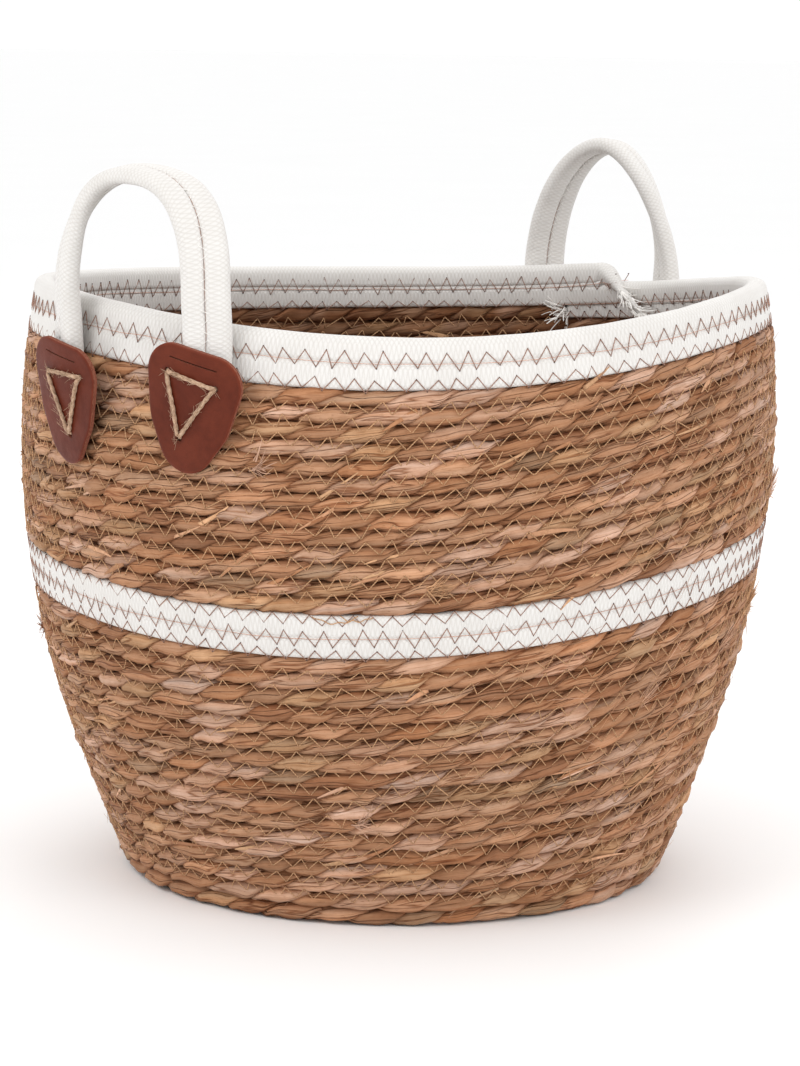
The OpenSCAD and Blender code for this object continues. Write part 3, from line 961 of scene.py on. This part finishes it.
def build_wall_stitching():
    foot = dict(COTTON_STITCH, height=4.3 * MM, shift=1.7 * MM)
    head = dict(COTTON_STITCH, height=3.9 * MM, shift=-1.25 * MM)
    rim_mid = dict(COTTON_STITCH, shift=1.0 * MM)
    rim_first = RIM_START - start_turn
    sew("lower_wall", [(0.6, BAND_START - 1, GRASS_STITCH, False)], BEIGE, "beige_thread",
        "lower_wall_stitching", 71)
    sew("band", [(BAND_START - 1, BAND_START, foot, False),
                 (BAND_START, UPPER_START - 1, COTTON_STITCH, True),
                 (UPPER_START - 1, UPPER_START, head, False)], BROWN, "brown_thread",
        "band_stitching", 81)
    sew("upper_wall", [(UPPER_START, rim_first - 1, GRASS_STITCH, False)], BEIGE,
        "beige_thread", "upper_wall_stitching", 91)
    sew("rim", [(rim_first - 1, rim_first, foot, False),
                (rim_first, RIM_END - 1, rim_mid, True)], BROWN, "brown_thread",
        "rim_stitching", 101)


FLOOR_THREAD_R = 0.24 * MM
FLOOR_STITCH = 4.2 * MM        # one leg of the floor's zigzag, along the seam
FLOOR_SWING = 2.0 * MM         # and how far it swings to each side of it


def build_floor_stitching():
    """Rings of zigzag thread over the grooves of the floor, on both of its faces."""
    thick = float(course_height(1))
    edge = float(outer_r(thick / 2)) - wall_depth(thick / 2)
    rounds = int(edge / FLOOR_PITCH)
    tubes = Tubes()
    for face, z in ((1, thick + 0.05 * MM), (-1, 0.35 * MM)):
        for k in range(1, rounds + 1):
            r = FLOOR_PITCH * k
            legs = max(8, int(TAU * r / FLOOR_STITCH) // 2 * 2)
            knots = np.linspace(0, 1, legs * 3 + 1)[:-1]
            wave = np.abs(((knots * legs / 2) % 1) * 2 - 1) * 2 - 1
            radius = r + wave * FLOOR_SWING
            angle = STEP_ANGLE - knots * TAU
            point = polar(radius, angle, z)
            tubes.strand(np.concatenate([point, point[:1]]), UP * face, FLOOR_THREAD_R,
                         FLOOR_THREAD_R, 3, caps=False)
    tubes.build("floor_thread", BEIGE, "beige_thread", "base_stitching")


# ---- Handles -----------------------------------------------------------------

STRAND_W = 9.2 * MM
STRAND_T = 7.4 * MM
ROLL_FOOT = 6
ROLL_TOP = 86
LEG_CLEAR = 0.4 * MM


def handle_facts(side):
    """Where a handle stands, read from its joint and from the boxes of its ropes."""
    joint = joints[f"{side}_handle_tilt"]
    x, y, z = joint["pos_m"]
    angle = math.atan2(y, x)
    rope = node_points(f"{side}_outer_rope")
    half = np.abs(rope @ sideways(angle)).max() - STRAND_W
    inner_top = top_of(f"{side}_inner_rope")
    legs = {}
    for which in ("front", "rear"):
        leg = node_points(f"{side}_{which}_leg").mean(0)
        legs[which] = math.atan2(leg[1], leg[0])
    return dict(angle=angle, r=math.hypot(x, y), z=z, half=half,
                rise=inner_top - STRAND_T / 2 - z, legs=legs,
                foot=foot_of(f"{side}_front_leg"))


def smooth_path(points, count):
    """The line through points with its corners rounded off, as evenly spaced samples."""
    run = along(points[:, :3])
    even = np.linspace(0, run[-1], 600)
    table = np.stack([np.interp(even, run, column) for column in points.T], -1)
    half = int(5 * MM / even[1])
    for _ in range(3):
        padded = np.concatenate([2 * table[0] - table[half:0:-1], table,
                                 2 * table[-1] - table[-2:-half - 2:-1]])
        table = np.stack([np.convolve(column, np.full(2 * half + 1, 1 / (2 * half + 1)), "valid")
                          for column in padded.T], -1)
    run = along(table[:, :3])
    even = np.linspace(0, run[-1], count)
    return np.stack([np.interp(even, run, column) for column in table.T], -1)


# How each loop was set: outward lean of its top, added height, how square its front
# and its rear side are (2 is an ellipse), how far in degrees the strap has rolled over at the
# rim and how late it rolls on from there, and how many degrees round its legs were moved
LOOP_SET = {
    "left": dict(lean=-2.5 * MM, taller=-0.6 * MM, square={"front": 2.9, "rear": 2.3}, late=1.6,
                 roll={"front": 24, "rear": 24}, moved={"front": 0.8, "rear": -1.2}),
    "right": dict(lean=0.5 * MM, taller=5.4 * MM, square={"front": 1.55, "rear": 2.0}, late=1.0,
                  roll={"front": 30, "rear": 50}, moved={"front": 0.7, "rear": 0.0})}


LEG_TONGUE = 14 * MM         # how far the strap's flat end reaches down behind the leather


def strap_path(side):
    """Centre line of a handle's strap from foot to foot, with its across and facing ways."""
    h = handle_facts(side)
    own = LOOP_SET[side]
    radial = outward(h["angle"])
    across = sideways(h["angle"])
    # The strap starts at the leg that its across way points to
    order = sorted(h["legs"], key=lambda w: -((h["legs"][w] - h["angle"] + math.pi) % TAU))
    angles = [h["legs"][w] + math.radians(own["moved"][w]) for w in order]
    outs = [outward(a) for a in angles]
    half = [abs(math.sin(a - h["angle"])) * (h["r"] + 4 * MM) for a in angles]

    def leg_rows(angle, out, sign, roll_rim):
        round_way = sideways(angle) * sign
        rows = []
        for z in np.linspace(h["foot"] - LEG_TONGUE, rim_top - 5 * MM, 32):
            share = max((z - h["foot"]) / (rim_top - h["foot"]), 0)
            roll = math.radians(ROLL_FOOT + (roll_rim - ROLL_FOOT) * share)
            slim = float(strap_slimness(h, np.array([[0, 0, z]]))[0])
            stand = (LEG_CLEAR + STRAND_T / 2 * slim * math.cos(roll)
                     + STRAND_W * 0.9 * math.sin(roll))
            r = float(outer_r(min(z, profile_z[-1]))) + stand
            centre = out * r + UP * (z + float(lift(angle, z)))
            facing = math.cos(roll) * out + math.sin(roll) * round_way
            rows.append(np.concatenate([centre, facing]))
        return rows

    rolls = [own["roll"][w] for w in order]
    rows = leg_rows(angles[0], outs[0], 1, rolls[0])
    raised = [float(lift(a, rim_top)) for a in angles]
    for q in np.radians(np.arange(3, 178, 3)):
        c, s = math.cos(q), math.sin(q)
        k = 0 if c > 0 else 1
        square = own["square"][order[k]]
        t = math.copysign(abs(c) ** (2 / square), c) * half[k]
        rise = s ** (2 / square)
        weight = (1 + t / half[k]) / 2
        base = raised[0] * weight + raised[1] * (1 - weight)
        in_plane = norm(np.array([c * h["rise"], s * half[k]]))
        roll = math.radians(rolls[k] + (ROLL_TOP - rolls[k]) * s ** own["late"])
        centre = (radial * (h["r"] + 1.5 * MM + own["lean"] * rise) + across * t
                  + UP * (h["z"] + base + (h["rise"] + own["taller"]) * rise))
        away = across * in_plane[0] + UP * in_plane[1]
        settle = min(rise / 0.6, 1)
        face_out = norm(outs[k] * (1 - settle) + radial * settle)
        facing = math.cos(roll) * face_out + math.sin(roll) * away
        rows.append(np.concatenate([centre, facing]))
    rows += leg_rows(angles[1], outs[1], -1, rolls[1])[::-1]
    table = smooth_path(np.array(rows), 260)
    strap_across, strap_out = path_frames(table[:, :3], table[:, 3:])
    return h, table[:, :3], strap_across, strap_out


def bend_over_rim(piece):
    """Bakes the piece's placement into its mesh."""
    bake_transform(piece)


def strap_slimness(h, centre):
    """The strap is pressed flat under the leather, and its bend draws it thinner at the top."""
    return np.interp(centre[:, 2], [h["foot"] - LEG_TONGUE, h["foot"] + 5 * MM, h["z"],
                                    h["z"] + h["rise"]], [0.42, 1, 1, 0.85])


def build_handle(side):
    h, centre, across, out = strap_path(side)
    length = along(centre)
    half_t = STRAND_T / 2 * strap_slimness(h, centre)
    # Which way across the strap the outer rope lies, judged at the top of the loop
    sign = np.sign(across[len(centre) // 2] @ outward(h["angle"]))
    for which, shift in (("outer", -1), ("inner", 1)):
        path = centre + across * (sign * shift * STRAND_W * 0.48)
        # Flat where the two ropes press on each other, round on the free side
        towards = sign * shift > 0
        rings = cotton_rings(path, across, out, STRAND_W / 2, half_t,
                             below=4.5 if towards else 2.5, above=2.5 if towards else 4.5,
                             seed=200 + shift, spacing=1.1 * MM)
        rings = round_end(round_end(rings, length, True, 3 * MM), length, False, 3 * MM)
        tubes = Tubes()
        tubes.add(rings, along(path))
        piece = tubes.build(f"{side}_handle_{which}_rope", COTTON, "white_cotton",
                            f"{side}_{which}_rope", f"{side}_front_leg", f"{side}_rear_leg",
                            rides=False)
        bend_over_rim(piece)
    build_strap_seam(side, h, centre, across, out, length)


STRAP_PITCH = 3.6 * MM         # half a zigzag of the strap's seam
STRAP_SWING = 2.7 * MM         # how far it swings to each side
# Painted shade: each speck of brown bobbin thread is darkened for the shade in its needle hole
SPECK_SHADE_TINT = np.full(3, 0.6)   # the strap's needle holes are darker than the thread


def build_strap_seam(side, h, centre, across, out, length):
    """Zigzag of white thread over the strap's middle, with the brown bobbin thread showing
    as a fine line in the seam and as a speck at each needle hole."""
    white, brown = Tubes(), Tubes()
    local = np.random.default_rng(17)
    count = int(length[-1] / STRAP_PITCH)
    for face in (1, -1):
        at = np.linspace(0, length[-1], count + 1) + local.normal(0, 0.25 * MM, count + 1)
        at = np.clip(at, 0, length[-1])
        swing = np.where(np.arange(count + 1) % 2, 1, -1) * STRAP_SWING
        pos, side_way, face_way = (
            np.stack([np.interp(at, length, column) for column in rows.T], -1)
            for rows in (centre, across, out))
        side_way, face_way = norm(side_way), norm(face_way) * face
        slim = strap_slimness(h, pos)[:, None]
        corners = pos + side_way * swing[:, None] + face_way * slim * (STRAND_T * 0.452)
        f = np.linspace(0, 1, 4)[:-1]
        path = (corners[:-1, None] * (1 - f)[None, :, None]
                + corners[1:, None] * f[None, :, None]).reshape(-1, 3)
        white.strand(path, np.repeat(face_way[:-1], 3, 0), 0.15 * MM, 0.15 * MM, 5)
        for i in range(count):
            ends = np.stack([corners[i] - face_way[i] * 0.5 * MM,
                             corners[i] + face_way[i] * 0.22 * MM])
            size = 0.20 * MM * local.uniform(0.3, 1.1)
            brown.strand(ends, side_way[i], size, size, 5, SPECK_SHADE_TINT)
        groove = centre + out * (face * STRAND_T * 0.37) * strap_slimness(h, centre)[:, None]
        groove = groove + across * wander(len(groove), 6, 0.15 * MM, 7 + face)[:, None]
        a, o = path_frames(groove, out * face)
        brown.add(ellipse_rings(groove, a, o, 0.075 * MM, 0.075 * MM, 5), length,
                  np.full((len(groove), 5, 3), 1.7))
    for tubes, name, material, slot_name in (
            (white, "zigzag", FIBRE, "white_cotton"), (brown, "seam", BROWN, "brown_thread")):
        piece = tubes.build(f"{side}_handle_{name}_thread", material, slot_name,
                            f"{side}_loop_seam", f"{side}_leg_seams", rides=False)
        bend_over_rim(piece)


# ---- Leather patches ---------------------------------------------------------
# Places on a patch, seen from outside in metres: x to the right and y up

PATCH_TURN = math.radians(10)
LEATHER_T = 2.2 * MM
PATCH_DISCS = ((-8.6, 10.5, 11), (8.2, 10.5, 11), (0, -2, 17), (0.2, -14.2, 11.2))
LACE_HOLES = np.array([(-10.8, 11), (9.4, 10), (-2.5, -13)]) * MM
SLIT = (-10.6 * MM, 8.8 * MM, 16.4 * MM)     # its left end, its right end and its height
HOLE_R = 1.2 * MM
PATCH_TILT = math.radians(8.5)
PATCH_STANDOFF = 5.2 * MM
EDGE_BEVEL = (0.35 * MM, 0.08 * MM)     # worn off the edge, and off the loop next to it


def patch_outline(count):
    """The hull of the patch's discs, from its support in each direction."""
    a = np.arange(count) / count * TAU
    way = np.stack([np.cos(a), np.sin(a)], -1)
    discs = np.array(PATCH_DISCS) * MM
    fine = np.arange(720) / 720 * TAU
    circle = np.stack([np.cos(fine), np.sin(fine)], -1)
    cloud = (discs[:, None, :2] + circle[None] * discs[:, 2, None, None]).reshape(-1, 2)
    # Distance from the middle to the hull along each way
    reach = []
    for d in way:
        normals = circle[circle @ d > 0.05]
        support = (cloud @ normals.T).max(0)
        reach.append((support / (normals @ d)).min())
    return way * np.array(reach)[:, None]


def patch_map(angle, turn, patch_mid):
    """A function from the flat leather to the wall: x and y in its plane, w off it."""
    out, right = outward(angle), sideways(angle)
    normal = math.cos(PATCH_TILT) * out - math.sin(PATCH_TILT) * UP
    climb = math.sin(PATCH_TILT) * out + math.cos(PATCH_TILT) * UP
    origin = out * (float(outer_r(patch_mid)) + PATCH_STANDOFF)
    origin = origin + UP * (patch_mid + float(lift(angle, patch_mid)))
    c, s = math.cos(turn), math.sin(turn)

    def place(x, y, w):
        px, py = c * x - s * y, s * x + c * y
        # The leather bows round the wall, stands off over the ropes and curls at its top
        bow = -px ** 2 / (2 * 170 * MM)
        hump = 0.9 * MM * np.exp(-((py - 9 * MM) / (9 * MM)) ** 2)
        hump = hump * np.exp(-(px / (13 * MM)) ** 2)
        foot = -0.6 * MM * np.clip((-py - 12 * MM) / (12 * MM), 0, 1) ** 2
        height = w + bow + hump + foot
        return (origin + right * px[..., None] + climb * py[..., None]
                + normal * height[..., None])

    return place


def leather_plate(name, outline):
    """The flat plate: loops from the edge to the middle on its front, and back out behind."""
    shrink = np.concatenate([[1.0, 0.985], np.linspace(0.955, 0.05, 26)])
    count, half = len(outline), len(shrink)
    bevel = np.zeros(half)
    bevel[:2] = EDGE_BEVEL
    size = np.concatenate([shrink, shrink[::-1]])
    height = np.concatenate([LEATHER_T - bevel, bevel[::-1]])
    flat = np.concatenate([outline * s for s in size] + [[[0, 0], [0, 0]]])
    w = np.concatenate([np.repeat(height, count), [LEATHER_T, 0.0]])
    grid = np.arange(2 * half * count).reshape(2 * half, count)
    ahead = np.roll(grid, -1, 1)
    # No quads join the two innermost loops: a fan closes each of them
    rows = [i for i in range(2 * half) if i != half - 1]
    faces = []
    for i in rows:
        j = (i + 1) % (2 * half)
        faces += np.stack([grid[i], ahead[i], ahead[j], grid[j]], -1).tolist()
    middle = np.full(count, 2 * half * count)
    faces += np.stack([grid[half - 1], ahead[half - 1], middle], -1).tolist()
    faces += np.stack([ahead[half], grid[half], middle + 1], -1).tolist()
    mesh = bpy.data.meshes.new(name)
    mesh.from_pydata(np.column_stack([flat, w]).tolist(), [], faces)
    return mesh


# How each patch was laced on by hand, seen from outside: sideways and up from its place in
# the frame, its turn in degrees, and how far its lacing is shifted and turned on it
PATCH_SET = {
    "left_front": dict(sideways=-3.2 * MM, upward=5.0 * MM, turn=-4, lace=(0.0, 0)),
    "left_rear": dict(sideways=-0.6 * MM, upward=-0.5 * MM, turn=-20, lace=(4.0 * MM, 10)),
    "right_front": dict(sideways=0.0, upward=1.5 * MM, turn=3, lace=(0.5 * MM, 3)),
    "right_rear": dict(sideways=-0.5 * MM, upward=3.0 * MM, turn=-5, lace=(-0.8 * MM, -4))}


def lace_holes(side, which):
    """Middles of the three holes of a patch's lacing."""
    shift, degrees = PATCH_SET[f"{side}_{which}"]["lace"]
    c, s = math.cos(math.radians(degrees)), math.sin(math.radians(degrees))
    return LACE_HOLES @ np.array([[c, s], [-s, c]]) + [shift, 0]


def build_patch(side, which, angle, turn):
    outline = patch_outline(120)
    low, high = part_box(f"{side}_{which}_patch")
    own = PATCH_SET[f"{side}_{which}"]
    patch_mid = (low[2] + high[2]) / 2 + 1.9 * MM + own["upward"]
    angle += own["sideways"] / float(outer_r(patch_mid))
    turn += math.radians(own["turn"])
    mesh = leather_plate(f"{side}_{which}_leather_patch", outline)
    obj = link(mesh.name, mesh)
    for material in (LEATHER, LEATHER_EDGE):
        mesh.materials.append(material)
    holes = lace_holes(side, which)
    place = patch_map(angle, turn, patch_mid)
    cut_holes(obj, holes)
    finish_patch(obj, place, outline, holes)
    assign(obj, "leather", f"{side}_{which}_patch")
    return place


def cut_holes(obj, holes):
    """Cuts the three lacing holes and the slit through the flat plate."""
    cutter = bpy.data.meshes.new("cutter")
    verts, faces = [], []

    def prism(points):
        start = len(verts)
        k = len(points)
        verts.extend([(x, y, -2 * MM) for x, y in points] + [(x, y, 5 * MM) for x, y in points])
        faces.append(tuple(range(start + k - 1, start - 1, -1)))
        faces.append(tuple(range(start + k, start + 2 * k)))
        for i in range(k):
            j = (i + 1) % k
            faces.append((start + i, start + j, start + k + j, start + k + i))

    for x, y in holes:
        prism([(x + HOLE_R * math.cos(a), y + HOLE_R * math.sin(a))
               for a in np.arange(16) / 16 * TAU])
    x0, x1, y = SLIT
    half = 0.28 * MM
    prism([(x0, y - half), (x1, y - half), (x1 + half, y), (x1, y + half), (x0, y + half),
           (x0 - half, y)])
    cutter.from_pydata(verts, [], faces)
    cutter.materials.append(LEATHER)
    cutter.materials.append(LEATHER_EDGE)
    for polygon in cutter.polygons:
        polygon.material_index = 1
    tool = link("cutter", cutter)
    cut = obj.modifiers.new("holes", "BOOLEAN")
    cut.operation = "DIFFERENCE"
    cut.solver = "EXACT"
    cut.object = tool
    graph = bpy.context.evaluated_depsgraph_get()
    result = bpy.data.meshes.new_from_object(obj.evaluated_get(graph))
    obj.modifiers.clear()
    old = obj.data
    result.name = old.name + "_cut"
    obj.data = result
    bpy.data.meshes.remove(old)
    bpy.data.objects.remove(tool)


def finish_patch(obj, place, outline, holes):
    """Bends the cut plate to the wall, gives it UVs and a tint: painted highlight at the edge,
    darker near holes.
    """
    mesh = obj.data
    co = np.empty(len(mesh.vertices) * 3)
    mesh.vertices.foreach_get("co", co)
    co = co.reshape(-1, 3)
    x, y, w = co.T
    around = np.arctan2(y, x)
    edge_angle = np.arctan2(outline[:, 1], outline[:, 0])
    order = np.argsort(edge_angle)
    edge = np.interp(around, edge_angle[order], np.linalg.norm(outline, axis=1)[order], period=TAU)
    inset = 1 - np.hypot(x, y) / edge
    # Painted highlight: the bevelled edge is lighter; a narrow band just inside it is a little
    # darker
    tint = np.interp(inset, [0, 0.03, 0.1], [1.35, 0.95, 1.0])
    near = np.min([np.hypot(x - hx, y - hy) for hx, hy in holes], axis=0)
    tint = tint * np.interp(near, [HOLE_R, HOLE_R + 1.5 * MM], [0.75, 1.0])
    set_tint(mesh, tint[:, None])
    layer = mesh.uv_layers.get("UVMap") or mesh.uv_layers.new(name="UVMap")
    corner = np.empty(len(mesh.loops), np.int32)
    mesh.loops.foreach_get("vertex_index", corner)
    layer.data.foreach_set("uv", (co[corner, :2] / (50 * MM) + 0.5).astype(np.float32).ravel())
    # The rim of the plate takes the raw edge's material
    for polygon in mesh.polygons:
        flat_inset = inset[list(polygon.vertices)]
        span = w[list(polygon.vertices)]
        if flat_inset.max() < 0.001 and span.max() - span.min() > MM:
            polygon.material_index = 1
    moved = place(x, y, w)
    mesh.vertices.foreach_set("co", moved.astype(np.float32).ravel())
    mesh.update()
    mesh.shade_smooth()
    mesh.set_sharp_from_angle(angle=math.radians(38))


# ---- Jute lacing -------------------------------------------------------------

TWINE_R = 0.85 * MM


def build_lacing(side, which, place, seed):
    """A triangle of twine over the holes, in through them, with its stray hairs."""
    local = np.random.default_rng(seed)
    tubes = Tubes()
    holes = lace_holes(side, which)
    face = LEATHER_T + TWINE_R * 0.85
    for i in range(3):
        p, q = holes[i], holes[(i + 1) % 3]
        f = np.linspace(0, 1, 40)
        flat = p[None] * (1 - f)[:, None] + q[None] * f[:, None]
        sag = local.uniform(0.15, 0.5) * MM * np.sin(math.pi * f)
        way = norm(q - p)
        flat = flat + np.array([-way[1], way[0]]) * (sag * local.choice([-1, 1]))[:, None]
        flat = flat + way * (0.55 * MM * (i - 1) / 2)
        dive = np.clip(1 - np.minimum(f, 1 - f) / 0.07, 0, 1)
        height = face - dive ** 2 * 3.6 * MM
        path = place(flat[:, 0], flat[:, 1], height)
        up = place(flat[:, 0], flat[:, 1], height + MM) - path
        across, out = path_frames(path, norm(up))
        twist = along(path) / (7 * MM) * TAU
        for ply in range(2):
            a = twist + ply * math.pi
            shift = (across * np.cos(a)[:, None] + out * np.sin(a)[:, None]) * TWINE_R * 0.24
            rings = ellipse_rings(path + shift, across, out, TWINE_R * 0.78, TWINE_R * 0.78, 8)
            tubes.add(rings, along(path))
        for _ in range(30):
            add_hair(tubes, path, across, out, local)
    for x, y in holes:
        for _ in range(4):
            add_hair_at(tubes, place, x, y, local)
    tubes.build(f"{side}_{which}_jute_lacing", JUTE, "jute_twine", f"{side}_{which}_lacing")


def add_hair(tubes, path, across, out, local):
    """One stray fibre that stands off a run of twine."""
    i = local.integers(3, len(path) - 5)
    a = local.uniform(0.1, math.pi - 0.1)
    way = across[i] * math.cos(a) + out[i] * math.sin(a)
    run = norm(path[i + 1] - path[i]) * local.choice([-1, 1])
    reach = local.uniform(1.0, 3.4) * MM
    f = np.linspace(0, 1, 5)[:, None]
    line = path[i] + way * (TWINE_R * 0.8 + reach * 0.45 * f) + run * reach * f
    line = line + way * local.normal(0, 0.2) * reach * f ** 2
    line = line + out[i] * (0.4 * MM)
    tubes.strand(line, out[i] + 0.2 * across[i], 0.07 * MM, 0.07 * MM, 3)


def add_hair_at(tubes, place, x, y, local):
    """One fibre of the tuft at a hole."""
    a = local.uniform(0, TAU)
    reach = local.uniform(1.5, 4.2) * MM
    f = np.linspace(0, 1, 5)
    px = x + np.cos(a) * reach * f
    py = y + np.sin(a) * reach * f
    height = LEATHER_T + local.uniform(0.6, 1.4) * MM + reach * local.uniform(0, 0.35) * f
    line = place(px, py, height)
    off = place(px[:1], py[:1], height[:1] + MM) - line[0]
    tubes.strand(line, off, 0.08 * MM, 0.08 * MM, 3)


def build_patches():
    seed = 700
    for side in ("left", "right"):
        h = handle_facts(side)
        for which, angle in h["legs"].items():
            offset = (angle - h["angle"] + math.pi) % TAU - math.pi
            turn = -math.copysign(PATCH_TURN, offset)
            place = build_patch(side, which, angle, turn)
            build_lacing(side, which, place, seed)
            seed += 1


# ---- Loose ends of leaf ------------------------------------------------------

NEAR_R = 0.15                # the wall's radius, roughly, for lengths laid round it


def add_blade(tubes, path, out, width, most, sides, tone):
    """A thin bit of leaf that stays clear of the ground."""
    path[:, 2] = np.maximum(path[:, 2], 1 * MM)
    tubes.strand(path, out, width, np.minimum(width, most), sides, tone)


def build_slivers():
    """Splinters and hairs of leaf that stand off the seagrass, outside and inside."""
    local = np.random.default_rng(77)
    tubes = Tubes()
    for i in range(900):
        turn = local.uniform(0.6, RIM_START - 0.6)
        if BAND_START - 0.6 < turn < UPPER_START + 0.6:
            continue
        inside = i % 4 == 0
        z0 = float(course_height(turn + local.uniform(-0.4, 0.4)))
        angle0 = float(coil_angle(turn))
        hair = i % 3 > 0
        reach = local.uniform(6, 20) * MM if hair else local.uniform(7, 22) * MM
        slope = local.normal(0.3, 0.45) if hair else local.normal(0.28, 0.16)
        f = np.linspace(0, 1, 7)
        way = local.choice([-1, 1])
        radius = float(outer_r(z0))
        angle = angle0 + way * f * reach / radius
        z = z0 + way * slope * reach * f + local.normal(0, 0.12) * reach * f ** 2
        stand = -0.5 * MM + (local.uniform(0.6, 3.2) if hair else local.uniform(0.4, 1.6)) * MM * f
        depth = wall_depth(z) + stand if inside else -stand
        path = wall_point(angle, z, depth)
        width = (0.11 if hair else local.uniform(0.5, 1.25)) * MM * (1 - 0.75 * f ** 2)
        tone = LEAF_COLOURS[local.choice(len(LEAF_COLOURS))] * local.uniform(0.9, 1.25)
        add_blade(tubes, path, wall_axes(angle, z)[0], width, 0.13 * MM, 3 if hair else 6, tone)
    tubes.build("loose_leaf_slivers", SPLINTER, "seagrass")


# Places where a leaf's end has split: turn and degrees on the wall, how many splinters and
# their length in millimetres
TUFTS = ((29.2, 318, 26, 11), (20.4, 300, 34, 13), (14.6, 293, 30, 12), (13.4, 283, 26, 12),
         (20.3, 225, 26, 9), (27.1, 200, 20, 9), (12.2, 262, 18, 9), (25.6, 285, 14, 8),
         (6.6, 214, 18, 9), (23.2, 100, 20, 9), (9.4, 60, 20, 10), (28.2, 20, 16, 9),
         (14.3, 140, 20, 10))


def build_tufts():
    """Split leaf ends that stand off the wall in small brushes."""
    local = np.random.default_rng(78)
    tubes = Tubes()
    for place, degrees, count, length in TUFTS:
        angle0 = math.radians(degrees)
        z0 = float(course_height(place))
        tone = LEAF_COLOURS[local.choice([2, 3, 4, 7])]
        lay = local.uniform(0.2, 1.2)
        for _ in range(count):
            spread = lay + local.normal(0, 0.45)
            reach = length * MM * local.uniform(0.4, 1.1)
            f = np.linspace(0, 1, 6)
            angle = (angle0 + local.normal(0, 1.2) * MM / NEAR_R
                     + math.cos(spread) * f * reach / NEAR_R)
            z = z0 + local.normal(0, 1.0) * MM + math.sin(spread) * f * reach
            z = z + local.normal(0, 0.15) * reach * f ** 2
            stand = (-0.4 + local.uniform(1.0, 3.4) * f) * MM
            path = wall_point(angle, z, -stand)
            width = local.uniform(0.12, 0.38) * MM * (1 - 0.8 * f ** 2)
            add_blade(tubes, path, wall_axes(angle, z)[0], width, 0.14 * MM, 4,
                      tone * local.uniform(0.75, 1.2))
    tubes.build("split_leaf_tufts", SPLINTER, "seagrass")


def build_loose_thread():
    """Two slack loops of beige thread that lie over the band's upper edge."""
    tubes = Tubes()
    for degrees, width, drop in ((211.5, 17 * MM, 2.6 * MM), (214.5, 12 * MM, 1.7 * MM)):
        f = np.linspace(0, 1, 40)
        angle = math.radians(degrees) + (f - 0.5) * width / NEAR_R
        turn = UPPER_START - 1 + ((STEP_ANGLE - angle) / TAU) % 1
        z = upper_edge(turn) + 0.4 * MM - drop * np.sin(math.pi * f) ** 0.8
        z = z + 0.35 * MM * np.sin(f * 17 + degrees)
        path = wall_point(angle, z, np.full(len(f), -0.35 * MM))
        tubes.strand(path, wall_axes(angle, z)[0], 0.2 * MM, 0.2 * MM, 5)
    tubes.build("loose_thread", BEIGE, "beige_thread")


# ---- Studio ------------------------------------------------------------------

CAMERA_ANGLE = math.radians(220)
CAMERA_DISTANCE = 1.25
CAMERA_HEIGHT = 0.3313
CAMERA_LENS = 105.9
CAMERA_ROLL = math.radians(0.69)
AIM_HEIGHT = 0.1325
AIM_RIGHT = 0.0012
FLOOR_REACH = 40


def build_camera():
    place = outward(CAMERA_ANGLE) * CAMERA_DISTANCE + UP * CAMERA_HEIGHT
    aim = sideways(CAMERA_ANGLE) * AIM_RIGHT + UP * AIM_HEIGHT
    camera = link("camera", bpy.data.cameras.new("camera"))
    look = Vector(aim - place).to_track_quat("-Z", "Y").to_matrix().to_4x4()
    camera.matrix_world = Matrix.Translation(place) @ look @ Matrix.Rotation(CAMERA_ROLL, 4, "Z")
    camera.data.lens = CAMERA_LENS
    camera.data.clip_start = 0.01
    camera.data.clip_end = 100
    bpy.context.scene.camera = camera


def area_light(name, place, aim, size, watts):
    data = bpy.data.lights.new(name, "AREA")
    data.shape = "DISK"
    data.size = size
    data.energy = watts
    lamp = link(name, data)
    lamp.location = place
    lamp.rotation_euler = (Vector(aim) - Vector(place)).to_track_quat("-Z", "Y").to_euler()


def build_studio():
    mesh = bpy.data.meshes.new("floor")
    corners = ((-1, -1), (1, -1), (1, 1), (-1, 1))
    mesh.from_pydata([(x * FLOOR_REACH, y * FLOOR_REACH, -0.2 * MM) for x, y in corners], [],
                     [(0, 1, 2, 3)])
    mesh.materials.append(floor_material())
    link("floor", mesh)
    away, right = outward(CAMERA_ANGLE), sideways(CAMERA_ANGLE)
    middle = (0, 0, 0.12)
    area_light("key", away * 0.9 - right * 1.0 + [0, 0, 1.3], middle, 0.9, 7.5)
    area_light("fill", away * 1.2 + right * 1.1 + [0, 0, 1.1], middle, 1.2, 7.5)
    area_light("back", -away * 1.2 + right * 0.3 + [0, 0, 1.3], middle, 1.2, 5)
    world = bpy.data.worlds.new("studio")
    bpy.context.scene.world = world
    world.use_nodes = True
    background = world.node_tree.nodes["Background"]
    background.inputs["Color"].default_value = (1, 1, 1, 1)
    background.inputs["Strength"].default_value = 1.03
    bpy.context.scene.view_settings.view_transform = "Standard"


build_camera()
build_studio()
build_walls()
build_floor()
build_band()
build_rim()
build_wall_stitching()
build_floor_stitching()
for side_name in ("left", "right"):
    build_handle(side_name)
build_patches()
build_slivers()
build_tufts()
build_loose_thread()
